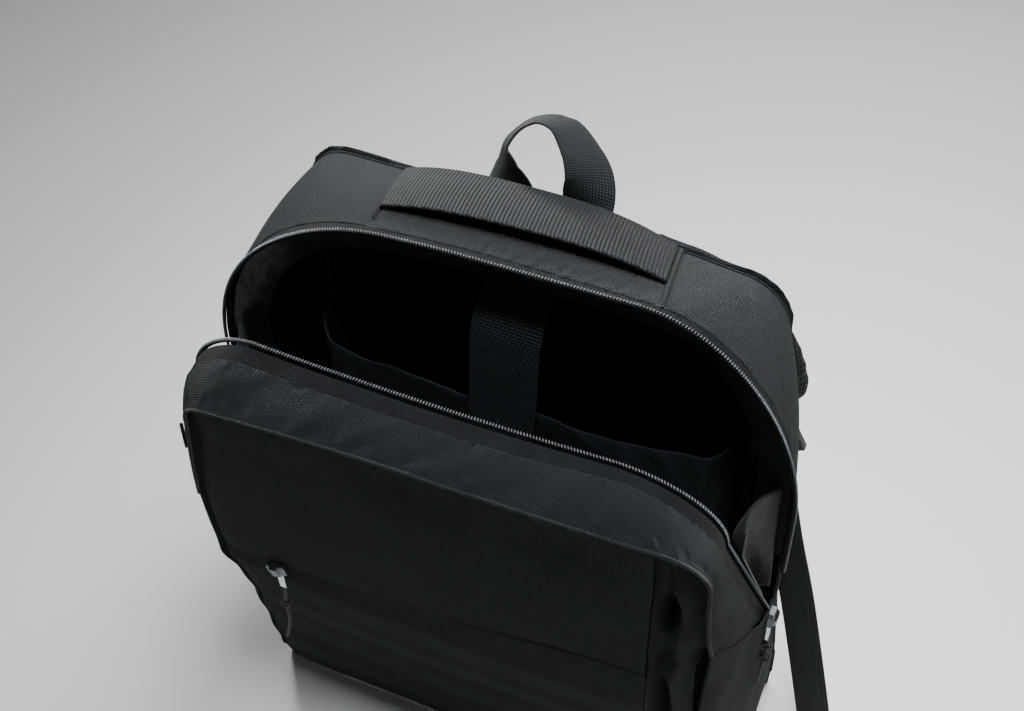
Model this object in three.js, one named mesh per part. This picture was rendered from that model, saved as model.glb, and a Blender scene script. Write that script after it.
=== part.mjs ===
import * as THREE from 'three';

// A laptop backpack of woven polyester, standing on its base with the main zip open.
// Millimetres: X to the right seen from the front, Y towards the back panel, Z up.
// The origin is the middle of the base, on the floor.

// Driving sizes
const WIDTH = 300;
const HEIGHT = 372;
const BACK_DEPTH = 46;
const GUSSET_WIDTH = 56;
const FRONT_REACH = 92;
const MOUTH_DROP = 54;
const ZIP_FOOT = 187;
const GUSSET_FOOT = 216;
const POCKET_EDGE = 108;

// Cloth, padding and running clearances
const CLOTH = 2;
const LINING = 1.4;
const WEBBING = 1.8;
const BACK_PAD = 8;
const STRAP_PAD = 11;
const BASE_BOARD = 3;
const GAP = 0.35;
const SEAM = 0.7;

// Trims
const ZIP_TAPE = 11;
const ZIP_BORDER = 5;
const ZIP_TAPE_THICK = 1.2;
const COIL = 2.4;
const SLIDER = { long: 12, wide: 8, thick: 4.4 };
const PULL_TAB = { long: 13, wide: 4, thick: 1.4 };
const PULL_CORD = 2;
const HANDLE = { left: 70, right: 69, skew: 10, width: { left: 42, right: 37 }, rise: 9, back: 1 };
const LOOP_WEBBING = 25;
const LOOP_HEIGHT = 34;
const LOOP_HALF_SPAN = 20;
const LOOP_LEAN = 18;
const LOOP_STAND = 0.2;
const STRAP_WIDTH = 60;
const STRAP_OUT = 106;
const TAIL_WEBBING = 20;
const LADDER_LOCK = { wide: 30, tall: 26, thick: 5, bar: 4.5 };
const RETENTION_WEBBING = 36;
const SLEEVE = { left: 110, right: 116, depth: 51, height: 263, ears: 14 };
const SIDE_TAB = { long: 8, wide: 11 };
const TUCK = { left: 0.5, right: 4, height: 60 };
const BASE_FRONT = 0.54 * FRONT_REACH;

const HALF = WIDTH / 2;
const MOUTH_Y = BACK_DEPTH - GUSSET_WIDTH;
const FRONT_TOP = HEIGHT - MOUTH_DROP;

const V = (x, y, z) => new THREE.Vector3(x, y, z);
const mix = THREE.MathUtils.lerp;
const bag = new THREE.Group();

const FABRIC = { color: 0x46484a, roughness: 0.92, metalness: 0 };
const BINDING = { color: 0x2b2c2e, roughness: 0.85, metalness: 0 };
const LINING_CLOTH = { color: 0x17181a, roughness: 0.55, metalness: 0 };
const WEB = { color: 0x1f2022, roughness: 0.8, metalness: 0 };
const METAL = { color: 0x8d8f92, roughness: 0.35, metalness: 1 };
const MOULDED = { color: 0x1a1b1c, roughness: 0.5, metalness: 0 };

function add(name, geometry, finish) {
  const mesh = new THREE.Mesh(geometry, new THREE.MeshStandardMaterial(finish));
  mesh.name = name;
  bag.add(mesh);
  return mesh;
}

function solid(points, faces) {
  const geometry = new THREE.BufferGeometry();
  geometry.setAttribute('position', new THREE.Float32BufferAttribute(points.flatMap(p => [p.x, p.y, p.z]), 3));
  geometry.setIndex(faces);
  geometry.computeVertexNormals();
  return geometry;
}

// A closed cloth wall. Its outer face follows at(u, v); the inner face lies a thickness behind it.
// With u to the right and v up, seen from outside, the outer face looks out.
function wall(at, columns, rows, thickness, lift = 0) {
  const step = 1e-3;
  const points = [];
  const inner = [];
  for (let j = 0; j <= rows; j++) {
    for (let i = 0; i <= columns; i++) {
      const u = i / columns;
      const v = j / rows;
      const du = at(Math.min(1, u + step), v).sub(at(Math.max(0, u - step), v));
      const dv = at(u, Math.min(1, v + step)).sub(at(u, Math.max(0, v - step)));
      const normal = du.cross(dv).normalize();
      const p = at(u, v).addScaledVector(normal, lift);
      points.push(p);
      inner.push(p.clone().addScaledVector(normal, -thickness));
    }
  }
  const count = points.length;
  const id = (i, j) => j * (columns + 1) + i;
  const faces = [];
  const quad = (a, b, c, d) => faces.push(a, b, c, a, c, d);
  for (let j = 0; j < rows; j++) {
    for (let i = 0; i < columns; i++) {
      const [a, b, c, d] = [id(i, j), id(i + 1, j), id(i + 1, j + 1), id(i, j + 1)];
      quad(a, b, c, d);
      quad(count + d, count + c, count + b, count + a);
    }
  }
  for (let i = 0; i < columns; i++) {
    quad(id(i + 1, 0), id(i, 0), count + id(i, 0), count + id(i + 1, 0));
    quad(id(i, rows), id(i + 1, rows), count + id(i + 1, rows), count + id(i, rows));
  }
  for (let j = 0; j < rows; j++) {
    quad(id(0, j), id(0, j + 1), count + id(0, j + 1), count + id(0, j));
    quad(id(columns, j + 1), id(columns, j), count + id(columns, j), count + id(columns, j + 1));
  }
  return solid([...points, ...inner], faces);
}

// A closed solid through rings of points, each ring turning anticlockwise seen from its start.
function loft(rings) {
  const sides = rings[0].length;
  const points = rings.flat();
  const faces = [];
  for (let k = 0; k < rings.length - 1; k++) {
    for (let i = 0; i < sides; i++) {
      const a = k * sides + i;
      const b = k * sides + (i + 1) % sides;
      faces.push(a, a + sides, b, b, a + sides, b + sides);
    }
  }
  const last = (rings.length - 1) * sides;
  for (let i = 1; i < sides - 1; i++) {
    faces.push(0, i, i + 1);
    faces.push(last, last + i + 1, last + i);
  }
  return solid(points, faces);
}

// The flat band of a webbing along a curve: across(t) is the direction of its width.
function band(curve, across, width, thickness, steps) {
  const rings = [];
  for (let k = 0; k <= steps; k++) {
    const t = k / steps;
    const p = curve.getPoint(t);
    const along = curve.getTangent(t);
    const side = across(t).clone();
    side.addScaledVector(along, -side.dot(along)).normalize();
    const face = along.clone().cross(side).normalize();
    const corner = (a, b) => p.clone().addScaledVector(side, a * width / 2).addScaledVector(face, b * thickness / 2);
    rings.push([corner(-1, -1), corner(-1, 1), corner(1, 1), corner(1, -1)]);
  }
  return loft(rings);
}

// An arch seen from the front, from the right foot (s = 1) over the top (s = 0) to the left foot (s = -1).
// Each side has its own half width, shoulder height and foot, and a quarter ellipse for its corner, as wide
// as its radius and as high as its drop, all as shares of the bag. Near the floor the legs tuck in.
const TOP_SPAN = 0.34;
const CORNER_SPAN = 0.62;
const tuck = (sign, z) => (sign < 0 ? TUCK.left : TUCK.right) * Math.max(0, 1 - z / TUCK.height) ** 2;

function archPoint(arch, s) {
  const side = s < 0 ? arch.left : arch.right;
  const sign = s < 0 ? -1 : 1;
  const a = Math.abs(s);
  const half = side.half * HALF;
  const radius = side.radius * HALF;
  const drop = side.drop * HALF;
  const shoulder = side.top * arch.rise;
  const corner = half - radius;
  if (a <= TOP_SPAN) {
    const t = a / TOP_SPAN;
    return V(sign * corner * t, arch.y.top, mix(arch.middle * arch.rise, shoulder, t * t));
  }
  if (a <= CORNER_SPAN) {
    const angle = (a - TOP_SPAN) / (CORNER_SPAN - TOP_SPAN) * Math.PI / 2;
    const y = mix(arch.y.top, side.y.leg, Math.sin(angle) ** 2);
    return V(sign * (corner + radius * Math.sin(angle)), y, shoulder - drop * (1 - Math.cos(angle)));
  }
  const t = (a - CORNER_SPAN) / (1 - CORNER_SPAN);
  const y = mix(side.y.leg, side.y.foot, t ** arch.y.ease);
  const z = mix(shoulder - drop, arch.foot, t);
  return V(sign * (mix(half, side.foot * HALF, t) - tuck(sign, z)), y, z);
}

// The point of an arch's corner or leg at a height.
function archSide(arch, sign, z) {
  const side = sign < 0 ? arch.left : arch.right;
  const springing = side.top * arch.rise - side.drop * HALF;
  if (z <= springing) {
    const t = (springing - z) / (springing - arch.foot);
    return archPoint(arch, sign * mix(CORNER_SPAN, 1, Math.min(1, t)));
  }
  const angle = Math.acos(Math.min(1, (z - springing) / (side.drop * HALF)));
  return archPoint(arch, sign * mix(TOP_SPAN, CORNER_SPAN, angle / (Math.PI / 2)));
}

const back = { leg: BACK_DEPTH, foot: BACK_DEPTH };
const backArch = {
  rise: HEIGHT, foot: BASE_BOARD + GAP, middle: 0.952, y: { top: BACK_DEPTH, ease: 1 },
  left: { half: 0.85, top: 0.954, radius: 0.16, drop: 0.17, foot: 0.985, y: back },
  right: { half: 0.835, top: 0.93, radius: 0.18, drop: 0.2, foot: 0.985, y: back },
};
const mouth = { leg: MOUTH_Y, foot: MOUTH_Y };
const rearZip = {
  rise: HEIGHT, foot: BASE_BOARD + GAP, middle: 1, y: { top: MOUTH_Y, ease: 1 },
  left: { half: 1.045, top: 0.993, radius: 0.7, drop: 0.775, foot: 0.985, y: mouth },
  right: { half: 0.996, top: 0.997, radius: 0.51, drop: 0.72, foot: 0.985, y: mouth },
};
const flap = { leg: -0.605 * FRONT_REACH, foot: MOUTH_Y - 0.09 * FRONT_REACH };
const frontZip = {
  rise: FRONT_TOP, foot: ZIP_FOOT, middle: 0.996, y: { top: -0.605 * FRONT_REACH, ease: 1 },
  left: { half: 0.954, top: 1.007, radius: 0.27, drop: 0.26, foot: 0.985, y: flap },
  right: { half: 0.87, top: 0.999, radius: 0.36, drop: 0.21, foot: 0.985, y: flap },
};
const frontSeam = {
  rise: FRONT_TOP, foot: GUSSET_FOOT, middle: 0.968, y: { top: -0.98 * FRONT_REACH, ease: 2 },
  left: { half: 0.88, top: 0.95, radius: 0.13, drop: 0.13, foot: 0.95, y: { leg: -0.94 * FRONT_REACH, foot: -0.9 * FRONT_REACH } },
  right: { half: 0.887, top: 0.978, radius: 0.15, drop: 0.15, foot: 0.89, y: { leg: -0.94 * FRONT_REACH, foot: -0.78 * FRONT_REACH } },
};

// Back panel: a padded board over the back arch, crowned where the wearer's back rests on it.
const ARCH_STEPS = 44;

function backOutline(inset) {
  const outline = [];
  for (let k = 0; k <= ARCH_STEPS; k++) {
    const p = archPoint(backArch, 1 - 2 * k / ARCH_STEPS);
    outline.push(V(p.x * (1 - inset / HALF), p.y, mix(p.z, HEIGHT / 2, 2 * inset / HEIGHT)));
  }
  return outline;
}

function backPanel() {
  const layers = [
    { inset: 0, y: GAP },
    { inset: 0.12 * BACK_PAD, y: 0.35 * BACK_PAD },
    { inset: 0.5 * BACK_PAD, y: 0.75 * BACK_PAD },
    { inset: 1.1 * BACK_PAD, y: BACK_PAD },
  ];
  return loft(layers.map(layer => backOutline(layer.inset).map(p => V(p.x, BACK_DEPTH + layer.y, p.z))));
}
add('back_panel', backPanel(), FABRIC);

// Rear gusset: one strip of cloth over the top and down both sides, from the back panel to the zip.
const GUSSET_CROWN = 3;

function rearShell(s, w) {
  const back = archPoint(backArch, s);
  const zip = archPoint(rearZip, s);
  const out = V(zip.x, 0, Math.max(0, zip.z - 0.7 * HEIGHT)).normalize();
  const crown = GUSSET_CROWN * Math.sin(Math.PI * Math.min(1, Math.max(0, w))) * Math.min(1, zip.z / (0.5 * HEIGHT));
  return back.lerp(zip, w).addScaledVector(out, crown);
}
add('rear_gusset', wall((u, v) => rearShell(2 * u - 1, 1 - v * (1 - GAP / GUSSET_WIDTH)), ARCH_STEPS, 4, CLOTH), FABRIC);

// Both main zips: a tape sewn under the gusset's edge, and the coil of teeth along it.
function beyond(near, far, s, distance) {
  const edge = near(s);
  return edge.clone().add(edge.clone().sub(far(s)).setLength(distance));
}

function zipStrip(near, far, from, to, span, steps, thickness, lift) {
  const at = (u, v) => beyond(near, far, mix(-span, span, u), mix(to, from, v));
  return wall(at, steps, 1, thickness, lift);
}

// The share of the arch above the end of the zip.
function spanAbove(arch, z) {
  let s = 1;
  while (archPoint(arch, s).z < z) {
    s -= 0.002;
  }
  return s;
}

const zipFootSteps = Math.ceil((1 - spanAbove(rearZip, ZIP_FOOT + SLIDER.long)) * ARCH_STEPS / 2);
const rearSpan = 1 - 2 * zipFootSteps / ARCH_STEPS;
const rearSteps = ARCH_STEPS - 2 * zipFootSteps;
const rearNear = s => archPoint(rearZip, s);
const rearFar = s => archPoint(backArch, s);
add('rear_zip_tape', zipStrip(rearNear, rearFar, GAP, ZIP_BORDER, rearSpan, rearSteps, ZIP_TAPE_THICK, -0.4), BINDING);
add('rear_zip_coil',
  zipStrip(rearNear, rearFar, ZIP_BORDER + GAP, ZIP_BORDER + GAP + COIL, rearSpan, rearSteps, COIL, 0.2), METAL);

// Front gusset and its zip: a shell from the teeth forward and down to the seam of the front panel.
// Its share t is 0 at the teeth and 1 at the seam.
const FRONT_CROWN = 3.5;
const frontSpan = s => archPoint(frontZip, s).distanceTo(archPoint(frontSeam, s));

function frontShell(s, t) {
  const zip = archPoint(frontZip, s);
  const out = V(zip.x, -0.8 * HALF, Math.max(0, zip.z - 0.5 * HEIGHT)).normalize();
  return zip.lerp(archPoint(frontSeam, s), t).addScaledVector(out, FRONT_CROWN * Math.sin(Math.PI * t));
}

function gussetAt(u, v) {
  const s = 2 * u - 1;
  return frontShell(s, mix(1, (ZIP_TAPE + SEAM) / frontSpan(s), v));
}

function stripAt(from, to) {
  return (u, v) => {
    const s = 2 * u - 1;
    return frontShell(s, mix(to, from, v) / frontSpan(s));
  };
}
add('front_gusset', wall(gussetAt, ARCH_STEPS, 5, CLOTH), FABRIC);
add('front_zip_tape', wall(stripAt(COIL + SEAM + GAP, ZIP_TAPE), ARCH_STEPS, 1, ZIP_TAPE_THICK, -0.4), BINDING);
add('front_zip_coil', wall(stripAt(0, COIL), ARCH_STEPS, 1, COIL, 0.2), METAL);

// Front face: how far the cloth stands out at each share of its height.
const FACE_PROFILE = [
  { up: 0, out: 0.57 },
  { up: 0.08, out: 0.65 },
  { up: 0.2, out: 0.715 },
  { up: 0.33, out: 0.785 },
  { up: 0.44, out: 0.87 },
  { up: 0.55, out: 0.935 },
  { up: 0.66, out: 0.965 },
  { up: 0.8, out: 0.965 },
  { up: 0.9, out: 0.96 },
  { up: 1, out: 0.98 },
];

function tableValue(table, key, value, at) {
  let k = 1;
  while (k < table.length - 1 && table[k][key] < at) {
    k++;
  }
  const [a, b] = [table[k - 1], table[k]];
  const t = THREE.MathUtils.clamp((at - a[key]) / (b[key] - a[key]), 0, 1);
  return mix(a[value], b[value], t * t * (3 - 2 * t));
}

// The height and reach of the seam over a point of the front face.
function seamOver(x) {
  const side = x < 0 ? frontSeam.left : frontSeam.right;
  const corner = (side.half - side.radius) * HALF;
  const a = Math.abs(x);
  if (a <= corner) {
    return archPoint(frontSeam, Math.sign(x) * TOP_SPAN * a / corner);
  }
  const angle = Math.asin(Math.min(1, (a - corner) / (side.radius * HALF)));
  return archPoint(frontSeam, Math.sign(x) * mix(TOP_SPAN, CORNER_SPAN, angle / (Math.PI / 2)));
}

const FACE_LEFT = frontSeam.left.half * HALF - CLOTH - GAP;
const FACE_NARROW = 6;

// The left edge of the face, as a share of its place at the top seam: it puffs out at the pocket's slit.
const FACE_EDGE = [
  { up: 0, out: 1.11 },
  { up: 0.1, out: 1.09 },
  { up: 0.25, out: 1.07 },
  { up: 0.32, out: 1.056 },
  { up: 0.38, out: 1.036 },
  { up: 0.44, out: 1.056 },
  { up: 0.5, out: 1.088 },
  { up: 0.58, out: 1.06 },
  { up: 0.685, out: 1.066 },
  { up: 0.775, out: 1.04 },
  { up: 0.89, out: 1 },
  { up: 1, out: 1 },
];
const SLIT = { left: 0.468 * HEIGHT, right: 0.551 * HEIGHT };
const FACE_FOOT = BASE_BOARD + GAP;

// The face leans out to the left and narrows to the right on its way down.
function faceX(u, z) {
  const down = Math.min(1, Math.max(0, 1 - z / (0.96 * FRONT_TOP)));
  const left = -FACE_LEFT * tableValue(FACE_EDGE, 'up', 'out', z / FRONT_TOP);
  return mix(left, POCKET_EDGE - FACE_NARROW * down, u);
}

function face(u, z, recess = 0) {
  const x = faceX(u, z);
  const seam = seamOver(mix(-FACE_LEFT, POCKET_EDGE, u));
  const share = tableValue(FACE_PROFILE, 'up', 'out', z / seam.z) / 0.98;
  const belly = 3 * Math.sin(Math.PI * u) * Math.sin(Math.PI * Math.min(1, z / seam.z));
  const round = 3 * Math.max(0, 1 - u / 0.08) ** 2;
  return V(x, seam.y * share - belly + round + recess, z);
}
const slitHeight = u => mix(SLIT.left, SLIT.right, Math.min(1, u * 1.15));
const faceTop = u => seamOver(mix(-FACE_LEFT, POCKET_EDGE, u)).z - CLOTH - GAP;

const FACE_COLUMNS = 16;
add('front_panel_upper',
  wall((u, v) => face(u, mix(slitHeight(u), faceTop(u), v), 1), FACE_COLUMNS, 8, CLOTH), FABRIC);
const POCKET_RECESS = CLOTH + 1 + GAP;
const lowerRecess = (u, z) => POCKET_RECESS * Math.max(0, 1 - Math.abs(slitHeight(u) - z) / 30) ** 2;
const lowerTop = u => slitHeight(u) - 4.6;
add('front_panel_lower',
  wall((u, v) => {
    const z = mix(FACE_FOOT, lowerTop(u), v);
    return face(u, z, 1 + lowerRecess(u, z));
  }, FACE_COLUMNS, 8, CLOTH), FABRIC);
const zipEnd = 1 / FACE_COLUMNS;
add('pocket_zip_tape',
  wall((u, v) => {
    const along = mix(zipEnd, 1 - zipEnd, u);
    return face(along, slitHeight(along) + mix(-3.6, 4, v), 1 + CLOTH + SEAM);
  }, FACE_COLUMNS - 2, 1, ZIP_TAPE_THICK), BINDING);

// Side panels below the gusset's ends. On the left the panel meets the front face, on the right it
// meets the pleated side of the front pocket at the corner seam.
const CORNER_X = 0.85 * HALF;
const CORNER_SETBACK = 0.13;

function rightCorner(z) {
  const share = tableValue(FACE_PROFILE, 'up', 'out', z / FRONT_TOP);
  const setback = CORNER_SETBACK * Math.min(1, z / (0.4 * HEIGHT));
  const below = V(CORNER_X, FRONT_REACH * (setback - share), z);
  const above = archSide(frontSeam, 1, z).add(V(-CLOTH - GAP, CLOTH + GAP, 0));
  return below.lerp(above, THREE.MathUtils.smoothstep(z, GUSSET_FOOT - 16, GUSSET_FOOT));
}

function sidePanel(sign, w, v, corner) {
  const top = mix(ZIP_FOOT, GUSSET_FOOT, w) - CLOTH - SEAM;
  const z = mix(FACE_FOOT, top, v);
  const rear = V(sign * archSide(rearZip, sign, z).x, MOUTH_Y - 2 * SEAM, z);
  const end = corner(z);
  const turn = V(rear.x + 2, end.y + 4, z);
  const a = rear.clone().lerp(turn, w);
  const b = turn.clone().lerp(end, w);
  const gussetEnd = frontShell(sign, w);
  const sewn = THREE.MathUtils.smoothstep(v, 0.6, 1) * THREE.MathUtils.smoothstep(w, 0.1, 0.4);
  return a.lerp(b, w).lerp(V(sign * gussetEnd.x, gussetEnd.y, z), sewn);
}
const rightEnd = z => V(CORNER_X + CLOTH + GAP, rightCorner(Math.min(z, GUSSET_FOOT - 16)).y - 1, z);
const leftEnd = z => V(-faceX(0, z) + CLOTH + GAP, face(0, z, 1).y, z);
add('side_panel_right', wall((u, v) => sidePanel(1, 1 - u, v, rightEnd), 10, 8, CLOTH), FABRIC);
add('side_panel_left',
  wall((u, v) => {
    const p = sidePanel(-1, u, v, leftEnd);
    return V(-p.x, p.y, p.z);
  }, 10, 8, CLOTH), FABRIC);

// The pleats of the pocket's side, a row for each height: how deep the valley is and how far the puff stands.
const PLEATS = [
  { up: 0, valley: 0.1, puff: 0.02 },
  { up: 0.3, valley: 0.3, puff: 0.03 },
  { up: 0.5, valley: 0.42, puff: 0.05 },
  { up: 0.66, valley: 0.12, puff: 0.14 },
  { up: 0.76, valley: 0.1, puff: 0.1 },
  { up: 0.83, valley: 0.3, puff: 0.02 },
  { up: 0.92, valley: 0.08, puff: 0.1 },
  { up: 1, valley: 0.02, puff: 0.02 },
];

function bellows(w, v) {
  const z = mix(FACE_FOOT, seamOver(POCKET_EDGE).z - 3 * CLOTH, v);
  const near = face(1, z, 1 + CLOTH + SEAM + lowerRecess(1, z));
  const far = rightCorner(z).add(V(-GAP, CLOTH, 0));
  const valley = tableValue(PLEATS, 'up', 'valley', v) * FRONT_REACH * 0.5;
  const puff = tableValue(PLEATS, 'up', 'puff', v) * FRONT_REACH * 0.5;
  const bend = valley * Math.sin(Math.PI * Math.min(1, w * 1.6)) ** 2 - puff * Math.sin(Math.PI * w) ** 2;
  return near.lerp(far, w).add(V(0, bend, 0));
}
add('front_bellows_right', wall(bellows, 8, 12, CLOTH), FABRIC);

// Base: a covered board with rounded corners.
function basePanel() {
  const shape = new THREE.Shape();
  const front = -BASE_FRONT;
  const back = BACK_DEPTH + BACK_PAD;
  const left = -backArch.left.foot * HALF + TUCK.left;
  const right = backArch.right.foot * HALF - TUCK.right;
  const radius = { front: 9, back: 6 };
  shape.moveTo(left + radius.front, front);
  shape.lineTo(right - radius.front, front);
  shape.absarc(right - radius.front, front + radius.front, radius.front, -Math.PI / 2, 0, false);
  shape.absarc(right - radius.back, back - radius.back, radius.back, 0, Math.PI / 2, false);
  shape.absarc(left + radius.back, back - radius.back, radius.back, Math.PI / 2, Math.PI, false);
  shape.absarc(left + radius.front, front + radius.front, radius.front, Math.PI, 1.5 * Math.PI, false);
  return new THREE.ExtrudeGeometry(shape, { depth: BASE_BOARD, bevelEnabled: false, curveSegments: 6 });
}
add('bottom_panel', basePanel(), FABRIC);

// Carry handle: a strip over the top gusset between its two cross seams, arched so that fingers go under.
function topOfGusset(x, w) {
  const flatHalf = arch => {
    const side = x < 0 ? arch.left : arch.right;
    return (side.half - side.radius) * HALF;
  };
  return rearShell(TOP_SPAN * x / mix(flatHalf(backArch), flatHalf(rearZip), w), w).z;
}

function handle(u, v) {
  const width = mix(HANDLE.width.left, HANDLE.width.right, u);
  const w = (HANDLE.back + width * (1 - v)) / GUSSET_WIDTH;
  const x = mix(-HANDLE.left, HANDLE.right, u) + HANDLE.skew * w;
  const arched = HANDLE.rise * mix(0.65, 1, v) * (1 - Math.abs(2 * u - 1) ** 3.2);
  return V(x, mix(BACK_DEPTH, MOUTH_Y, w), topOfGusset(x, w) + GAP + SEAM + WEBBING + arched);
}
add('carry_handle', wall(handle, 18, 3, WEBBING), WEB);

// Hang loop: webbing behind the back panel's top seam, leaning back, both ends sewn flat to the panel.
// Each row gives a point as shares of the loop's half span, height and lean, the turn of the webbing's
// width from the panel's own direction, and its tilt down at the back, in degrees.
const LOOP_ROUTE = [
  { across: -1.08, up: -0.35, back: 0, turn: 0, tilt: 0 },
  { across: -1.08, up: -0.15, back: 0, turn: 0, tilt: 0 },
  { across: -1.1, up: 0.08, back: 0, turn: -3, tilt: 0 },
  { across: -1.24, up: 0.36, back: 0.24, turn: -45, tilt: 36 },
  { across: -1.34, up: 0.57, back: 0.47, turn: -66, tilt: 30 },
  { across: -1.16, up: 0.75, back: 0.7, turn: -77, tilt: 25 },
  { across: -0.9, up: 0.89, back: 0.87, turn: -84, tilt: 25 },
  { across: -0.53, up: 0.98, back: 0.98, turn: -92, tilt: 27 },
  { across: -0.15, up: 1, back: 0.94, turn: -96, tilt: 27 },
  { across: 0.18, up: 0.92, back: 0.84, turn: -102, tilt: 22 },
  { across: 0.57, up: 0.73, back: 0.57, turn: -114, tilt: 20 },
  { across: 0.84, up: 0.52, back: 0.3, turn: -130, tilt: 12 },
  { across: 0.94, up: 0.29, back: 0.08, turn: -158, tilt: 4 },
  { across: 0.95, up: 0.1, back: 0, turn: -178, tilt: 0 },
  { across: 0.95, up: -0.15, back: 0, turn: -180, tilt: 0 },
  { across: 0.95, up: -0.35, back: 0, turn: -180, tilt: 0 },
];
const LOOP_SEAT = V(1, BACK_DEPTH + BACK_PAD + SEAM + LOOP_STAND + WEBBING / 2, backArch.middle * HEIGHT - 4);

function turned(route, t) {
  const at = t * (route.length - 1);
  const k = Math.min(route.length - 2, Math.floor(at));
  const turn = THREE.MathUtils.degToRad(mix(route[k].turn, route[k + 1].turn, at - k));
  const tilt = THREE.MathUtils.degToRad(mix(route[k].tilt, route[k + 1].tilt, at - k));
  return V(Math.cos(turn), Math.sin(turn) * Math.cos(tilt), -Math.sin(turn) * Math.sin(tilt));
}
const loopCurve = new THREE.CatmullRomCurve3(LOOP_ROUTE.map(row =>
  LOOP_SEAT.clone().add(V(row.across * LOOP_HALF_SPAN, row.back * LOOP_LEAN, row.up * LOOP_HEIGHT))));
add('hang_loop', band(loopCurve, t => turned(LOOP_ROUTE, t), LOOP_WEBBING, WEBBING, 45), WEB);

// Shoulder straps: padded, sewn to the back panel below the hang loop, bowing out past the bag's side.
// Rows are shares: out from the middle of the bag to the strap's widest place, up of the bag's height,
// and off, how far the strap's middle stands behind the back panel.
const STRAP_ROUTE = [
  { out: 0.4, up: 0.85, off: 0 },
  { out: 0.52, up: 0.83, off: 5 },
  { out: 0.72, up: 0.8, off: 11 },
  { out: 0.88, up: 0.75, off: 14 },
  { out: 0.97, up: 0.695, off: 15 },
  { out: 1, up: 0.64, off: 14 },
  { out: 1.07, up: 0.6, off: 13 },
];
const strapY = BACK_DEPTH + BACK_PAD + GAP + STRAP_PAD / 2;

function strapCurve(side) {
  return new THREE.CatmullRomCurve3(STRAP_ROUTE.map(row => V(side * row.out * STRAP_OUT, strapY + row.off, row.up * HEIGHT)));
}

// A flat pad with round edges along a curve, narrowed at its lower end.
function pad(curve, width, thickness, steps) {
  const rings = [];
  const sides = 12;
  for (let k = 0; k <= steps; k++) {
    const t = k / steps;
    const p = curve.getPoint(t);
    const along = curve.getTangent(t);
    const side = along.clone().cross(V(0, 1, 0)).normalize();
    const face = along.clone().cross(side).normalize();
    const half = width / 2 * (1 - 0.42 * THREE.MathUtils.smoothstep(t, 0.72, 1));
    const ring = [];
    for (let i = 0; i < sides; i++) {
      const angle = -2 * Math.PI * (i + 0.5) / sides;
      const [c, d] = [Math.cos(angle), Math.sin(angle)];
      const across = half * Math.sign(c) * Math.abs(c) ** 0.45;
      const deep = thickness / 2 * Math.sign(d) * Math.abs(d) ** 0.75;
      ring.push(p.clone().addScaledVector(side, across).addScaledVector(face, deep));
    }
    rings.push(ring);
  }
  return loft(rings);
}

// Ladder lock: a moulded frame of three bars across two slots, for the strap's webbing.
function ladderLock() {
  const { wide, tall, thick, bar } = LADDER_LOCK;
  const shape = new THREE.Shape();
  const corner = bar / 2;
  shape.moveTo(-wide / 2 + corner, -tall / 2);
  shape.lineTo(wide / 2 - corner, -tall / 2);
  shape.lineTo(wide / 2, -tall / 2 + corner);
  shape.lineTo(wide / 2, tall / 2 - corner);
  shape.lineTo(wide / 2 - corner, tall / 2);
  shape.lineTo(-wide / 2 + corner, tall / 2);
  shape.lineTo(-wide / 2, tall / 2 - corner);
  shape.lineTo(-wide / 2, -tall / 2 + corner);
  const slot = (tall - 3 * bar) / 2;
  for (const low of [-tall / 2 + bar, bar / 2]) {
    const hole = new THREE.Path();
    hole.moveTo(-wide / 2 + bar, low);
    hole.lineTo(-wide / 2 + bar, low + slot);
    hole.lineTo(wide / 2 - bar, low + slot);
    hole.lineTo(wide / 2 - bar, low);
    shape.holes.push(hole);
  }
  const geometry = new THREE.ExtrudeGeometry(shape, { depth: thick, bevelEnabled: false });
  return geometry.translate(0, 0, -thick / 2).rotateX(Math.PI / 2);
}

// The free tail of each strap leans out from the ladder lock down to the floor. Rows: out past the
// ladder lock's middle and forward of it, and up of the lock's height, at shares of the way down.
const TAIL_ROUTE = [
  { out: 0, forward: 0, up: 1 },
  { out: 1.5, forward: 0.2, up: 0.94 },
  { out: 4.5, forward: 0.6, up: 0.87 },
  { out: 10, forward: 2, up: 0.79 },
  { out: 18.7, forward: 6.3, up: 0.64 },
  { out: 31.5, forward: 13, up: 0.45 },
  { out: 45.5, forward: 23, up: 0.227 },
  { out: 59, forward: 35, up: 0.022 },
];
// The lower webbing runs from the ladder lock in to the back panel's bottom corner.
const LOWER_ROUTE = [
  { inward: 0, off: 1, up: 0.98 },
  { inward: 2, off: 0.92, up: 0.8 },
  { inward: 8, off: 0.6, up: 0.5 },
  { inward: 14, off: 0.2, up: 0.24 },
  { inward: 17, off: 0, up: 0.14 },
  { inward: 19, off: 0, up: 0.04 },
];

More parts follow.
